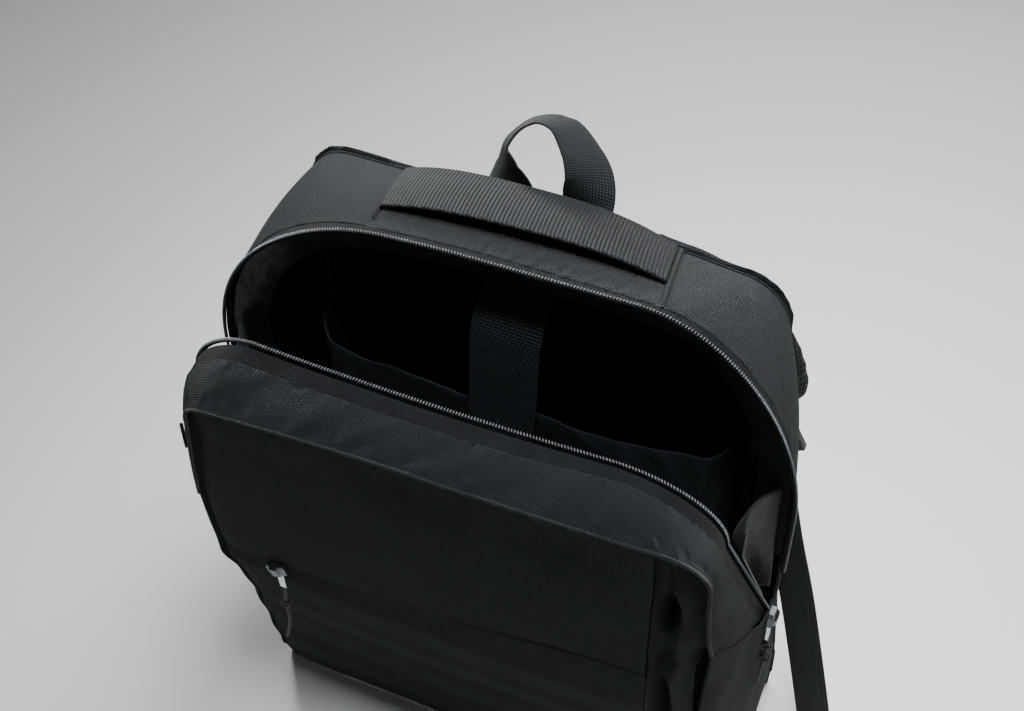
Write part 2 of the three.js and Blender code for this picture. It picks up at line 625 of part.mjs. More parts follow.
for (const [name, side] of [['right', 1], ['left', -1]]) {
  const curve = strapCurve(side);
  add(`shoulder_strap_${name}`, pad(curve, STRAP_WIDTH, STRAP_PAD, 20), FABRIC);
  const end = curve.getPoint(1);
  const along = curve.getTangent(1);
  const lean = Math.atan2(along.x, -along.z);
  const lock = end.clone().addScaledVector(along, LADDER_LOCK.tall / 2 + GAP);
  const mesh = add(`ladder_lock_${name}`, ladderLock(), MOULDED);
  mesh.position.copy(lock);
  mesh.rotation.y = -lean;
  const layer = LADDER_LOCK.thick / 2 + SEAM + WEBBING / 2;
  const tail = new THREE.CatmullRomCurve3(TAIL_ROUTE.map(row =>
    V(lock.x + side * row.out, lock.y - layer - row.forward, lock.z * row.up)));
  add(`strap_tail_${name}`, band(tail, t => V(1, 0.08 * side * t * t, 0), TAIL_WEBBING, WEBBING, 16), WEB);
  const seat = BACK_DEPTH + BACK_PAD + GAP + WEBBING / 2;
  const lower = new THREE.CatmullRomCurve3(LOWER_ROUTE.map(row =>
    V(lock.x - side * row.inward, mix(seat, lock.y + layer, row.off), lock.z * row.up)));
  add(`strap_webbing_${name}`, band(lower, () => V(1, 0, 0), TAIL_WEBBING, WEBBING, 14), WEB);
}

// Laptop sleeve: a lining pouch against the back panel, its front edge dipping between two ears.
function sleeve(u, v) {
  const side = 0.16;
  const front = MOUTH_Y + 0.1 * SLEEVE.depth;
  const rear = BACK_DEPTH - GAP;
  const turn = 14;
  let x;
  let y;
  if (u < side || u > 1 - side) {
    const t = (u < side ? side - u : u - 1 + side) / side;
    x = (u < side ? -SLEEVE.left : SLEEVE.right) * (1 + 0.02 * t);
    y = mix(front + turn, rear, t);
  } else {
    const t = (u - side) / (1 - 2 * side);
    x = mix(-SLEEVE.left, SLEEVE.right, t);
    const edge = Math.min(t, 1 - t) * (SLEEVE.left + SLEEVE.right);
    const bend = Math.max(0, 1 - edge / turn);
    y = front + turn * bend ** 2.2;
  }
  const ear = Math.abs(x - 3) / SLEEVE.right;
  const top = SLEEVE.height + SLEEVE.ears * ear ** 4 + 2 * Math.sin(x / 11);
  return V(x, y, mix(FACE_FOOT, top, v));
}
add('laptop_sleeve', wall(sleeve, 28, 5, LINING), LINING_CLOTH);

// Retention strap: wide webbing from the back panel, forward over the sleeve's mouth and down its front.
const RETENTION_ROUTE = [
  { across: 2, y: BACK_DEPTH - SEAM - WEBBING / 2, z: 0.88 },
  { across: 2, y: BACK_DEPTH - SEAM - WEBBING / 2, z: 0.915 },
  { across: 2, y: BACK_DEPTH - 7, z: 0.927 },
  { across: 3, y: BACK_DEPTH - 20, z: 0.912 },
  { across: 3, y: MOUTH_Y + 18, z: 0.888 },
  { across: 3, y: MOUTH_Y + 6, z: 0.862 },
  { across: 2, y: MOUTH_Y + 3.2, z: 0.82 },
  { across: 0, y: MOUTH_Y + 3, z: 0.74 },
  { across: -3, y: MOUTH_Y + 3, z: 0.66 },
  { across: -4, y: MOUTH_Y + 3.1, z: 0.57 },
];
const retention = new THREE.CatmullRomCurve3(RETENTION_ROUTE.map(row => V(row.across, row.y, row.z * HEIGHT)));
add('retention_strap', band(retention, () => V(1, 0, 0), RETENTION_WEBBING, WEBBING, 26), WEB);

// Lining strip: a flap of lining sewn inside the rear zip, all the way round the mouth.
const FLAP_WIDTH = 17;

function liningFlap(u, v) {
  const s = mix(-rearSpan, rearSpan, u);
  const p = archPoint(rearZip, s);
  const ahead = archPoint(rearZip, s - 0.01);
  const behind = archPoint(rearZip, s + 0.01);
  const inward = V(behind.z - ahead.z, 0, ahead.x - behind.x).normalize();
  const from = CLOTH + SEAM;
  return p.addScaledVector(inward, mix(from, from + FLAP_WIDTH, v)).add(V(0, mix(1.5, 7, v), 0));
}
add('lining_strip', wall(liningFlap, rearSteps, 1, LINING), LINING_CLOTH);

// Side folds: webs of lining inside each foot of the zip, which keep the mouth from opening further.
function sideFold(side, w, v) {
  const z = mix(ZIP_FOOT + 8, 0.74 * HEIGHT, v);
  const rear = archSide(rearZip, side, z);
  const front = archSide(frontZip, side, Math.min(z, 0.69 * HEIGHT));
  const p = rear.clone().lerp(front, mix(0.2, 0.8, w));
  const bulge = 13 * Math.sin(Math.PI * w) * Math.sin(Math.PI * (0.15 + 0.7 * v));
  return V(p.x - side * (1.5 * CLOTH + SEAM + bulge), mix(rear.y, front.y + 3, w), z);
}
add('side_fold_right', wall((u, v) => sideFold(1, u, v), 7, 7, LINING), LINING_CLOTH);
add('side_fold_left', wall((u, v) => sideFold(-1, 1 - u, v), 7, 7, LINING), LINING_CLOTH);

// Side tab: a short folded webbing sewn in the seam at the left end of the front gusset.
const tabRoot = frontShell(-0.71, 0.9).add(V(-CLOTH - SEAM - GAP, 0, 0));
const tabEnd = tabRoot.clone().add(V(-0.35, 0.3, -0.9).setLength(SIDE_TAB.long));
const seamDirection = frontShell(-0.68, 0.9).sub(frontShell(-0.74, 0.9)).normalize();
add('side_tab_left',
  band(new THREE.LineCurve3(tabRoot, tabEnd), () => seamDirection, SIDE_TAB.wide, WEBBING, 1), WEB);

// Zip sliders, each with a metal pull tab and a cord through the tab's eye.
function slider(middle, normal, down) {
  const side = down.clone().cross(normal).normalize();
  const sections = [
    { at: -0.5, wide: 0.7, thick: 0.55 },
    { at: -0.3, wide: 1, thick: 0.65 },
    { at: -0.2, wide: 1, thick: 1 },
    { at: 0.15, wide: 0.9, thick: 1 },
    { at: 0.28, wide: 0.85, thick: 0.65 },
    { at: 0.5, wide: 0.7, thick: 0.55 },
  ];
  const octagon = [[1, 0.5], [0.7, 1], [-0.7, 1], [-1, 0.5], [-1, -1], [-0.7, -1], [0.7, -1], [1, -1]];
  return loft(sections.map(section => octagon.map(([a, b]) => {
    const height = b > 0 ? b * (2 * section.thick - 1) : b;
    return middle.clone().addScaledVector(down, section.at * SLIDER.long)
      .addScaledVector(side, a * section.wide * SLIDER.wide / 2)
      .addScaledVector(normal, height * SLIDER.thick / 2);
  })));
}

function pullTab(top, normal, down) {
  const side = down.clone().cross(normal).normalize();
  const line = new THREE.LineCurve3(top, top.clone().addScaledVector(down, PULL_TAB.long));
  return band(line, () => side, PULL_TAB.wide, PULL_TAB.thick, 1);
}

function cord(points, steps) {
  const curve = new THREE.CatmullRomCurve3(points);
  const frames = curve.computeFrenetFrames(steps);
  const rings = [];
  for (let k = 0; k <= steps; k++) {
    const p = curve.getPointAt(k / steps);
    const ring = [];
    for (let i = 0; i < 8; i++) {
      const angle = -2 * Math.PI * i / 8;
      ring.push(p.clone().addScaledVector(frames.normals[k], Math.cos(angle) * PULL_CORD / 2)
        .addScaledVector(frames.binormals[k], Math.sin(angle) * PULL_CORD / 2));
    }
    rings.push(ring);
  }
  return loft(rings);
}

const down = V(0, 0, -1);
const besideFoot = sidePanel(1, 0.12, 1, rightEnd).add(V(SEAM, 0, 0));
const mainSlider = V(besideFoot.x + SLIDER.thick / 2, besideFoot.y, ZIP_FOOT + 4);
add('main_slider', slider(mainSlider, V(1, 0, 0), down), METAL);
const mainTab = V(besideFoot.x + PULL_TAB.thick / 2, mainSlider.y, mainSlider.z - SLIDER.long / 2 - GAP);
add('main_pull_tab', pullTab(mainTab, V(1, 0, 0), down), METAL);

// The cord's points: out from the tab's end, forward and down, chosen by hand.
const MAIN_CORD = [
  [0, 0, 0.4], [0.2, 0, 5], [0.4, 0.5, 10], [0.4, 1.5, 15], [0.2, 4, 20], [0, 7.5, 24.5], [0, 11, 28.5],
];
const mainTabEnd = mainTab.z - PULL_TAB.long;
add('main_pull_cord', cord(MAIN_CORD.map(([out, forward, fall]) =>
  V(mainTab.x + out, mainTab.y - forward, mainTabEnd - fall)), 16), WEB);

const PULL_AT = 0.165;
const slitZ = slitHeight(PULL_AT);
const slitPoint = face(PULL_AT, slitZ, 1);
const aboveSlit = face(PULL_AT + 0.02, slitZ + SLIDER.long / 2, 1);
const pocketSlider = V(slitPoint.x, aboveSlit.y - GAP - SLIDER.thick / 2, slitZ);
const alongSlit = V(1, 0, 0.35).normalize();
add('pocket_slider', slider(pocketSlider, V(0, -1, 0), alongSlit), METAL);
const pocketTab = V(slitPoint.x, slitPoint.y - GAP - PULL_TAB.thick / 2, slitZ - SLIDER.wide / 2 - 1.3);
add('pocket_pull_tab', pullTab(pocketTab, V(0, -1, 0), down), METAL);
const POCKET_CORD = [
  [0, 0.4], [-0.6, 7], [-1.6, 14], [-2, 21], [-2, 28], [-2.6, 35], [-4, 42], [-6, 49], [-8, 56],
];
const pocketTabEnd = pocketTab.z - PULL_TAB.long;
add('pocket_pull_cord', cord(POCKET_CORD.map(([side, fall]) => {
  const z = pocketTabEnd - fall;
  return V(pocketTab.x + side, Math.min(pocketTab.y, face(PULL_AT, z, 1).y - PULL_CORD / 2 - 0.5), z);
}), 20), WEB);

export default bag;
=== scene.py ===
import math
import bmesh
import bpy
import numpy as np
from mathutils import Matrix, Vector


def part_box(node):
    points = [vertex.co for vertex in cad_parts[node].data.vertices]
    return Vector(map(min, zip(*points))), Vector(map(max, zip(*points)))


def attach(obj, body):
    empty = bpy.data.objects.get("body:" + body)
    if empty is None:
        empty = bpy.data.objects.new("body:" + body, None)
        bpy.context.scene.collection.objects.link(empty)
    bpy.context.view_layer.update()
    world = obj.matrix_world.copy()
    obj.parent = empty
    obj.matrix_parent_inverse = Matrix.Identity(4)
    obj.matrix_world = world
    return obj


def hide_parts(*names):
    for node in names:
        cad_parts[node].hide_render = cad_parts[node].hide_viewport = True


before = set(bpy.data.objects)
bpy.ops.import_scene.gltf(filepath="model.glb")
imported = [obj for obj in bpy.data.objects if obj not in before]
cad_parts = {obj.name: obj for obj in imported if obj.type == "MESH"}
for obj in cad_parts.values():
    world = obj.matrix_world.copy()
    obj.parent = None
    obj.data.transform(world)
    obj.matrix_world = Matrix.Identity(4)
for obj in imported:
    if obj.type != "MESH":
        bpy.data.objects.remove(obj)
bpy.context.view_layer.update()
scene = bpy.context.scene

# Camera: a 50 mm lens above the bag's right front corner, looking down into the open mouth.
camera_data = bpy.data.cameras.new("camera")
camera_data.lens = 50
camera_data.sensor_width = 36
camera = bpy.data.objects.new("camera", camera_data)
scene.collection.objects.link(camera)
camera.matrix_world = Matrix((
    (0.9131, -0.2781, 0.2981, 0.20757),
    (0.4059, 0.6884, -0.6010, -0.41278),
    (-0.0381, 0.6698, 0.7415, 0.80684),
    (0, 0, 0, 1),
))
scene.camera = camera

# Pull cords: 2 mm braided cord, tied under the metal tab of each zip slider and left with a short
# tail. Each hangs down the cloth from its tab.
MM = 0.001
CORD = 2.0


def linear(hex_colour):
    """An sRGB hex colour as linear red, green, blue and alpha."""
    out = []
    for k in (1, 3, 5):
        c = int(hex_colour[k:k + 2], 16) / 255
        out.append(c / 12.92 if c <= 0.04045 else ((c + 0.055) / 1.055) ** 2.4)
    return (*out, 1.0)


def node(tree, kind, links=None, **settings):
    """Add a node, with its settings, and its inputs by name or number as values or links."""
    made = tree.nodes.new(kind)
    for key, value in settings.items():
        setattr(made, key, value)
    for key, value in (links or {}).items():
        socket = made.inputs[key]
        if isinstance(value, bpy.types.NodeSocket):
            tree.links.new(value, socket)
        else:
            socket.default_value = value
    return made


def new_material(name, **principled):
    """A material with one Principled shader, whose plain numbers sit on its own sockets."""
    material = bpy.data.materials.new(name)
    material.use_nodes = True
    tree = material.node_tree
    tree.nodes.clear()
    shader = node(tree, "ShaderNodeBsdfPrincipled", {k.replace("_", " "): v for k, v in principled.items()})
    node(tree, "ShaderNodeOutputMaterial", {"Surface": shader.outputs["BSDF"]})
    return material, tree, shader


def ramp(tree, value, low, high, low_at=0.0, high_at=1.0):
    """Colour between two hex colours by a value."""
    made = node(tree, "ShaderNodeValToRGB", {"Fac": value})
    made.color_ramp.elements[0].position = low_at
    made.color_ramp.elements[1].position = high_at
    made.color_ramp.elements[0].color = linear(low)
    made.color_ramp.elements[1].color = linear(high)
    return made.outputs["Color"]


def braided_cord():
    """Braided polyester cord: diagonal strands over a round core, matt and nearly black."""
    material, tree, shader = new_material("braided_polyester_cord", Roughness=0.8, Sheen_Weight=0.2)
    place = node(tree, "ShaderNodeTexCoord").outputs["Object"]
    waves = [
        node(tree, "ShaderNodeTexWave", {"Vector": node(
            tree, "ShaderNodeMapping", {"Vector": place, "Rotation": (0, turn, 0)}).outputs[0],
            "Scale": 240.0}, bands_direction="X").outputs["Fac"]
        for turn in (0.7, -0.7)]
    strands = node(tree, "ShaderNodeMath", {0: waves[0], 1: waves[1]}, operation="MULTIPLY").outputs[0]
    tree.links.new(ramp(tree, strands, "#0c0c0d", "#2b2c2e"), shader.inputs["Base Color"])
    bump = node(tree, "ShaderNodeBump", {"Height": strands, "Distance": 0.0003, "Strength": 0.8})
    tree.links.new(bump.outputs[0], shader.inputs["Normal"])
    return material


CORD_MATERIAL = braided_cord()


def link(name, data, material):
    made = bpy.data.objects.new(name, data)
    scene.collection.objects.link(made)
    data.materials.append(material)
    return made


def cord_curve(name, points, width):
    """A round cord along points in millimetres, as one open poly spline with capped ends."""
    curve = bpy.data.curves.new(name, "CURVE")
    curve.dimensions = "3D"
    curve.bevel_depth = width / 2 * MM
    curve.bevel_resolution = 4
    curve.use_fill_caps = True
    spline = curve.splines.new("POLY")
    spline.points.add(len(points) - 1)
    for made, p in zip(spline.points, points):
        made.co = (p[0] * MM, p[1] * MM, p[2] * MM, 1)
    return link(name, curve, CORD_MATERIAL)


def knot(name, middle, size):
    """An overhand knot: the cord goes round itself three times, drawn as a tight trefoil."""
    points = []
    for k in range(49):
        a = 2 * math.pi * k / 48
        r = size * (1 + 0.42 * math.cos(1.5 * 2 * a))
        points.append((middle[0] + r * math.cos(2 * a), middle[1] + 0.55 * size * math.sin(3 * a),
                       middle[2] + 1.15 * r * math.sin(2 * a)))
    curve = bpy.data.curves.new(name, "CURVE")
    curve.dimensions = "3D"
    curve.bevel_depth = 0.46 * CORD * MM
    curve.bevel_resolution = 2
    spline = curve.splines.new("POLY")
    spline.points.add(len(points) - 2)
    spline.use_cyclic_u = True
    for made, p in zip(spline.points, points[:-1]):
        made.co = (p[0] * MM, p[1] * MM, p[2] * MM, 1)
    return link(name, curve, CORD_MATERIAL)


MAIN_CORD = [
    (150.44, -25.11, 171.25), (150.53, -25.09, 169.29), (150.62, -25.09, 167.33), (150.7, -25.19, 165.38),
    (150.79, -25.38, 163.43), (150.85, -25.64, 161.48), (150.87, -25.93, 159.54), (150.86, -26.32, 157.62),
    (150.82, -26.94, 155.77), (150.75, -27.77, 153.99), (150.67, -28.72, 152.28), (150.6, -29.8, 150.64),
    (150.52, -31, 149.09), (150.46, -32.25, 147.59), (150.43, -33.51, 146.09), (150.44, -34.81, 144.62),
    (150.44, -36.11, 143.15)]
POCKET_CORD = [
    (-97.59, -88.38, 161.25), (-97.83, -88.38, 158.44), (-98.08, -88.38, 155.63), (-98.44, -88.38, 152.83),
    (-98.88, -88.38, 150.04), (-99.23, -88.38, 147.25), (-99.44, -88.38, 144.43), (-99.56, -88.38, 141.61),
    (-99.6, -88.38, 138.79), (-99.56, -88.38, 135.97), (-99.61, -88.38, 133.15), (-99.79, -88.38, 130.33),
    (-100.07, -88.38, 127.52), (-100.5, -88.38, 124.73), (-101.05, -88.38, 121.97), (-101.7, -88.38, 119.22),
    (-102.45, -88.38, 116.5), (-103.26, -88.38, 113.79), (-104.04, -88.38, 111.08), (-104.81, -88.38, 108.37),
    (-105.59, -88.38, 105.65)]

for cord_name, cord_route, knot_steps in (
        ("main_pull_cord", MAIN_CORD, (3, 8)), ("pocket_pull_cord", POCKET_CORD, (6,))):
    line = cord_curve(cord_name + "_braid", cord_route, CORD)
    knots = [knot(f"{cord_name}_knot_{k}", cord_route[at], 1.7) for k, at in enumerate(knot_steps)]
    reach = sum(math.dist(a, b) for a, b in zip(cord_route, cord_route[1:]))
    for piece in (line, *knots):
        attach(piece, "root")
    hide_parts(cord_name)

# Floor and light: a plain pale studio table. One soft box hangs close above the bag and leaves its front
# in shade, a small one lights it from the back left, and very little comes from the front.
FLOOR_SIZE = 6.0
floor_mesh = bpy.data.meshes.new("floor")
floor_mesh.from_pydata(
    [(x * FLOOR_SIZE, y * FLOOR_SIZE, 0) for x, y in ((-1, -1), (1, -1), (1, 1), (-1, 1))],
    [], [(0, 1, 2, 3)])
floor_material, _, _ = new_material(
    "matt_studio_paper", Roughness=0.9, Base_Color=linear("#f2f2f2"))
floor = link("floor", floor_mesh, floor_material)

world = bpy.data.worlds.new("studio")
scene.world = world
world.use_nodes = True
world.node_tree.nodes["Background"].inputs["Color"].default_value = (1, 1, 1, 1)
world.node_tree.nodes["Background"].inputs["Strength"].default_value = 0.05


def soft_light(name, at, towards, size, power, spread=165):
    data = bpy.data.lights.new(name, "AREA")
    data.shape = "RECTANGLE"
    data.size, data.size_y = size
    data.energy = power
    data.spread = math.radians(spread)
    made = bpy.data.objects.new(name, data)
    scene.collection.objects.link(made)
    made.location = at
    direction = np.array(at) - np.array(towards)
    direction /= np.linalg.norm(direction)
    side = np.cross((0, 0, 1), direction)
    side /= np.linalg.norm(side)
    up = np.cross(direction, side)
    made.matrix_world = Matrix([(side[k], up[k], direction[k], at[k]) for k in range(3)] + [(0, 0, 0, 1)])
    made.visible_camera = False


# Each light: its place, what it points at and its size in metres, its watts, and its spread in degrees.
soft_light("overhead", (0.16, 0.14, 1.05), (0.14, 0.14, 0), (0.8, 0.4), 12, 135)
soft_light("back_left", (-0.75, 0.75, 0.75), (-0.05, 0.05, 0.36), (0.3, 0.3), 1.6, 50)
soft_light("front_fill", (0.9, -1.2, 0.9), (0, 0, 0.2), (1.0, 0.8), 0.5)

# Back panel: foam in a woven cover, the board that the other pieces are sewn to. Its edge rolls over
# to the seam of the gusset.
WIDTH, HEIGHT, BACK_DEPTH, GUSSET_WIDTH, FRONT_REACH = 300.0, 372.0, 46.0, 56.0, 92.0
MOUTH_DROP, ZIP_FOOT, GUSSET_FOOT, POCKET_EDGE = 54.0, 187.0, 216.0, 108.0
CLOTH, LINING, WEBBING, BACK_PAD, STRAP_PAD, BASE_BOARD = 2.0, 1.4, 1.8, 8.0, 11.0, 3.0
GAP, SEAM = 0.35, 0.7
FACE_FOOT = BASE_BOARD + GAP
HALF = WIDTH / 2
MOUTH_Y = BACK_DEPTH - GUSSET_WIDTH
FRONT_TOP = HEIGHT - MOUTH_DROP
TUCK, TUCK_HEIGHT = (0.5, 4.0), 60.0
TOP_SPAN, CORNER_SPAN = 0.34, 0.62

BACK_ARCH = dict(
    rise=HEIGHT, foot=BASE_BOARD + GAP, middle=0.952, y_top=BACK_DEPTH, ease=1,
    half=(0.85, 0.835), top=(0.954, 0.93), radius=(0.16, 0.18), drop=(0.17, 0.2), foot_half=(0.985, 0.985),
    leg=(BACK_DEPTH, BACK_DEPTH), foot_y=(BACK_DEPTH, BACK_DEPTH))
REAR_ZIP = dict(
    rise=HEIGHT, foot=BASE_BOARD + GAP, middle=1.0, y_top=MOUTH_Y, ease=1,
    half=(1.045, 0.996), top=(0.993, 0.997), radius=(0.7, 0.51), drop=(0.775, 0.72), foot_half=(0.985, 0.985),
    leg=(MOUTH_Y, MOUTH_Y), foot_y=(MOUTH_Y, MOUTH_Y))
FLAP_LEG, FLAP_FOOT = -0.605 * FRONT_REACH, MOUTH_Y - 0.09 * FRONT_REACH
FRONT_ZIP = dict(
    rise=FRONT_TOP, foot=ZIP_FOOT, middle=0.996, y_top=-0.605 * FRONT_REACH, ease=1,
    half=(0.954, 0.87), top=(1.007, 0.999), radius=(0.27, 0.36), drop=(0.26, 0.21), foot_half=(0.985, 0.985),
    leg=(FLAP_LEG, FLAP_LEG), foot_y=(FLAP_FOOT, FLAP_FOOT))
FRONT_SEAM = dict(
    rise=FRONT_TOP, foot=GUSSET_FOOT, middle=0.968, y_top=-0.98 * FRONT_REACH, ease=2,
    half=(0.88, 0.887), top=(0.95, 0.978), radius=(0.13, 0.15), drop=(0.13, 0.15), foot_half=(0.95, 0.89),
    leg=(-0.94 * FRONT_REACH, -0.94 * FRONT_REACH), foot_y=(-0.9 * FRONT_REACH, -0.78 * FRONT_REACH))


def mix(a, b, t):
    return a + (b - a) * t


def vec(x, y, z):
    """Points from arrays or numbers of any one shape."""
    x, y, z = np.broadcast_arrays(np.asarray(x, float), np.asarray(y, float), np.asarray(z, float))
    return np.stack([x, y, z], -1)


def unit(v):
    return v / np.maximum(np.linalg.norm(v, axis=-1, keepdims=True), 1e-9)


def arch_points(arch, s):
    """Points of an arch, from its right foot (1) over the top (0) to its left foot (-1)."""
    s = np.asarray(s, float)
    left = s < 0
    pick = lambda key: np.where(left, arch[key][0], arch[key][1])
    a = np.abs(s)
    half, radius, drop = pick("half") * HALF, pick("radius") * HALF, pick("drop") * HALF
    shoulder = pick("top") * arch["rise"]
    corner = half - radius
    t_top = np.clip(a / TOP_SPAN, 0, 1)
    angle = np.clip((a - TOP_SPAN) / (CORNER_SPAN - TOP_SPAN), 0, 1) * np.pi / 2
    t_leg = np.clip((a - CORNER_SPAN) / (1 - CORNER_SPAN), 0, 1)
    z_leg = mix(shoulder - drop, arch["foot"], t_leg)
    tuck = np.where(left, *TUCK) * np.maximum(0, 1 - z_leg / TUCK_HEIGHT) ** 2
    x = np.where(a <= TOP_SPAN, corner * t_top, np.where(
        a <= CORNER_SPAN, corner + radius * np.sin(angle), mix(half, pick("foot_half") * HALF, t_leg) - tuck))
    y = np.where(a <= TOP_SPAN, arch["y_top"], np.where(
        a <= CORNER_SPAN, mix(arch["y_top"], pick("leg"), np.sin(angle) ** 2),
        mix(pick("leg"), pick("foot_y"), t_leg ** arch["ease"])))
    z = np.where(a <= TOP_SPAN, mix(arch["middle"] * arch["rise"], shoulder, t_top ** 2), np.where(
        a <= CORNER_SPAN, shoulder - drop * (1 - np.cos(angle)), z_leg))
    return vec(np.where(left, -x, x), y, z)


def arch_side(arch, sign, z):
    """Points of an arch's corner or leg at given heights."""
    k = 0 if sign < 0 else 1
    drop = arch["drop"][k] * HALF
    springing = arch["top"][k] * arch["rise"] - drop
    z = np.asarray(z, float)
    t = np.clip((springing - z) / (springing - arch["foot"]), 0, 1)
    angle = np.arccos(np.clip((z - springing) / drop, 0, 1))
    s = np.where(z <= springing, mix(CORNER_SPAN, 1, t), mix(TOP_SPAN, CORNER_SPAN, angle / (np.pi / 2)))
    return arch_points(arch, sign * s)


def ripple(t, seed):
    """An uneven wave between about -1 and 1, the same every run."""
    t = np.asarray(t, float)
    return (0.5 * np.sin(t + seed) + 0.3 * np.sin(1.73 * t + 2.1 * seed) + 0.2 * np.sin(3.1 * t + 0.7 * seed))


def hump(t, middle, width):
    return np.exp(-((np.asarray(t, float) - middle) / width) ** 2)


def set_uv(mesh, values):
    """A UV map in millimetres, from one pair for each vertex."""
    layer = mesh.uv_layers.new(name="cloth_mm")
    index = np.empty(len(mesh.loops), dtype=np.int32)
    mesh.loops.foreach_get("vertex_index", index)
    layer.data.foreach_set("uv", values[index].astype(np.float32).ravel())


def build(name, points, faces, material, uv=None, sharp=40):
    """A mesh object from points in millimetres."""
    mesh = bpy.data.meshes.new(name)
    mesh.from_pydata((np.asarray(points) * MM).tolist(), [], faces)
    mesh.polygons.foreach_set("use_smooth", [True] * len(mesh.polygons))
    if uv is not None:
        set_uv(mesh, uv)
    mesh.update()
    mesh.set_sharp_from_angle(angle=math.radians(sharp))
    return link(name, mesh, material)


def grid_uv(p):
    """Distances along and up a grid of points, from its middle, in millimetres."""
    rows, columns = p.shape[:2]
    run_across = np.cumsum(np.linalg.norm(np.diff(p, axis=1), axis=-1), 1)
    run_up = np.cumsum(np.linalg.norm(np.diff(p, axis=0), axis=-1), 0)
    across = np.concatenate([np.zeros((rows, 1)), run_across], 1)
    up = np.concatenate([np.zeros((1, columns)), run_up], 0)
    across -= across[:, columns // 2:columns // 2 + 1]
    up -= up[rows // 2:rows // 2 + 1, :]
    return np.stack([across, up], -1)


def hem_steps(count, length, roll):
    """Even steps from 0 to 1 with two closer ones at each end, where the cloth's edge rolls."""
    inner = np.linspace(0, 1, count + 1)
    edge = min(0.4 / count, roll / max(length, 1e-6))
    return np.concatenate([[0, edge / 3, edge], inner[1:-1], [1 - edge, 1 - edge / 3, 1]])


def wall(name, at, columns, rows, thickness, material, lift=0.0, roll=2.0, size=(100.0, 100.0)):
    """A closed cloth wall with rolled edges. at(u, v) gives its outer face, with u to the right and v
    up seen from outside, and the inner face lies a thickness behind."""
    us = hem_steps(columns, size[0], roll)
    vs = hem_steps(rows, size[1], roll)
    u, v = np.meshgrid(us, vs)
    p = at(u, v)
    step = 1e-3
    du = at(np.minimum(1, u + step), v) - at(np.maximum(0, u - step), v)
    dv = at(u, np.minimum(1, v + step)) - at(u, np.maximum(0, v - step))
    normal = unit(np.cross(du, dv))
    thin = np.ones_like(u)
    for k, share in ((0, 0.35), (1, 0.8)):
        thin[k, :] = np.minimum(thin[k, :], share)
        thin[-1 - k, :] = np.minimum(thin[-1 - k, :], share)
        thin[:, k] = np.minimum(thin[:, k], share)
        thin[:, -1 - k] = np.minimum(thin[:, -1 - k], share)
    middle = p + normal * (lift - thickness / 2)
    half = (thickness / 2 * thin)[..., None]
    outer, inner = middle + normal * half, middle - normal * half
    nr, nc = u.shape
    count = nr * nc
    ids = np.arange(count).reshape(nr, nc)
    a, b, c, d = ids[:-1, :-1], ids[:-1, 1:], ids[1:, 1:], ids[1:, :-1]
    front = np.stack([a, b, c, d], -1).reshape(-1, 4)
    backs = np.stack([d, c, b, a], -1).reshape(-1, 4) + count
    rims = []
    for first, second in ((ids[0, 1:], ids[0, :-1]), (ids[-1, :-1], ids[-1, 1:]),
                          (ids[:-1, 0], ids[1:, 0]), (ids[1:, -1], ids[:-1, -1])):
        rims.append(np.stack([first, second, second + count, first + count], -1))
    faces = np.concatenate([front, backs, *rims]).tolist()
    uv = grid_uv(outer).reshape(-1, 2)
    points = np.concatenate([outer.reshape(-1, 3), inner.reshape(-1, 3)])
    return build(name, points, faces, material, np.concatenate([uv, uv + (0.5, 0.5)]))


def loft(name, rings, material, uv=None, sharp=40):
    """A closed solid through rings of points (rings, sides, 3)."""
    count, sides = rings.shape[:2]
    ids = np.arange(count * sides).reshape(count, sides)
    nxt = np.roll(ids, -1, axis=1)
    body = np.stack([ids[:-1], ids[1:], nxt[1:], nxt[:-1]], -1).reshape(-1, 4).tolist()
    caps = [list(range(sides)), list(range((count - 1) * sides, count * sides))[::-1]]
    made = build(name, rings.reshape(-1, 3), body + caps, material, uv, sharp=sharp)
    edit = bmesh.new()
    edit.from_mesh(made.data)
    bmesh.ops.recalc_face_normals(edit, faces=edit.faces)
    edit.to_mesh(made.data)
    edit.free()
    return made


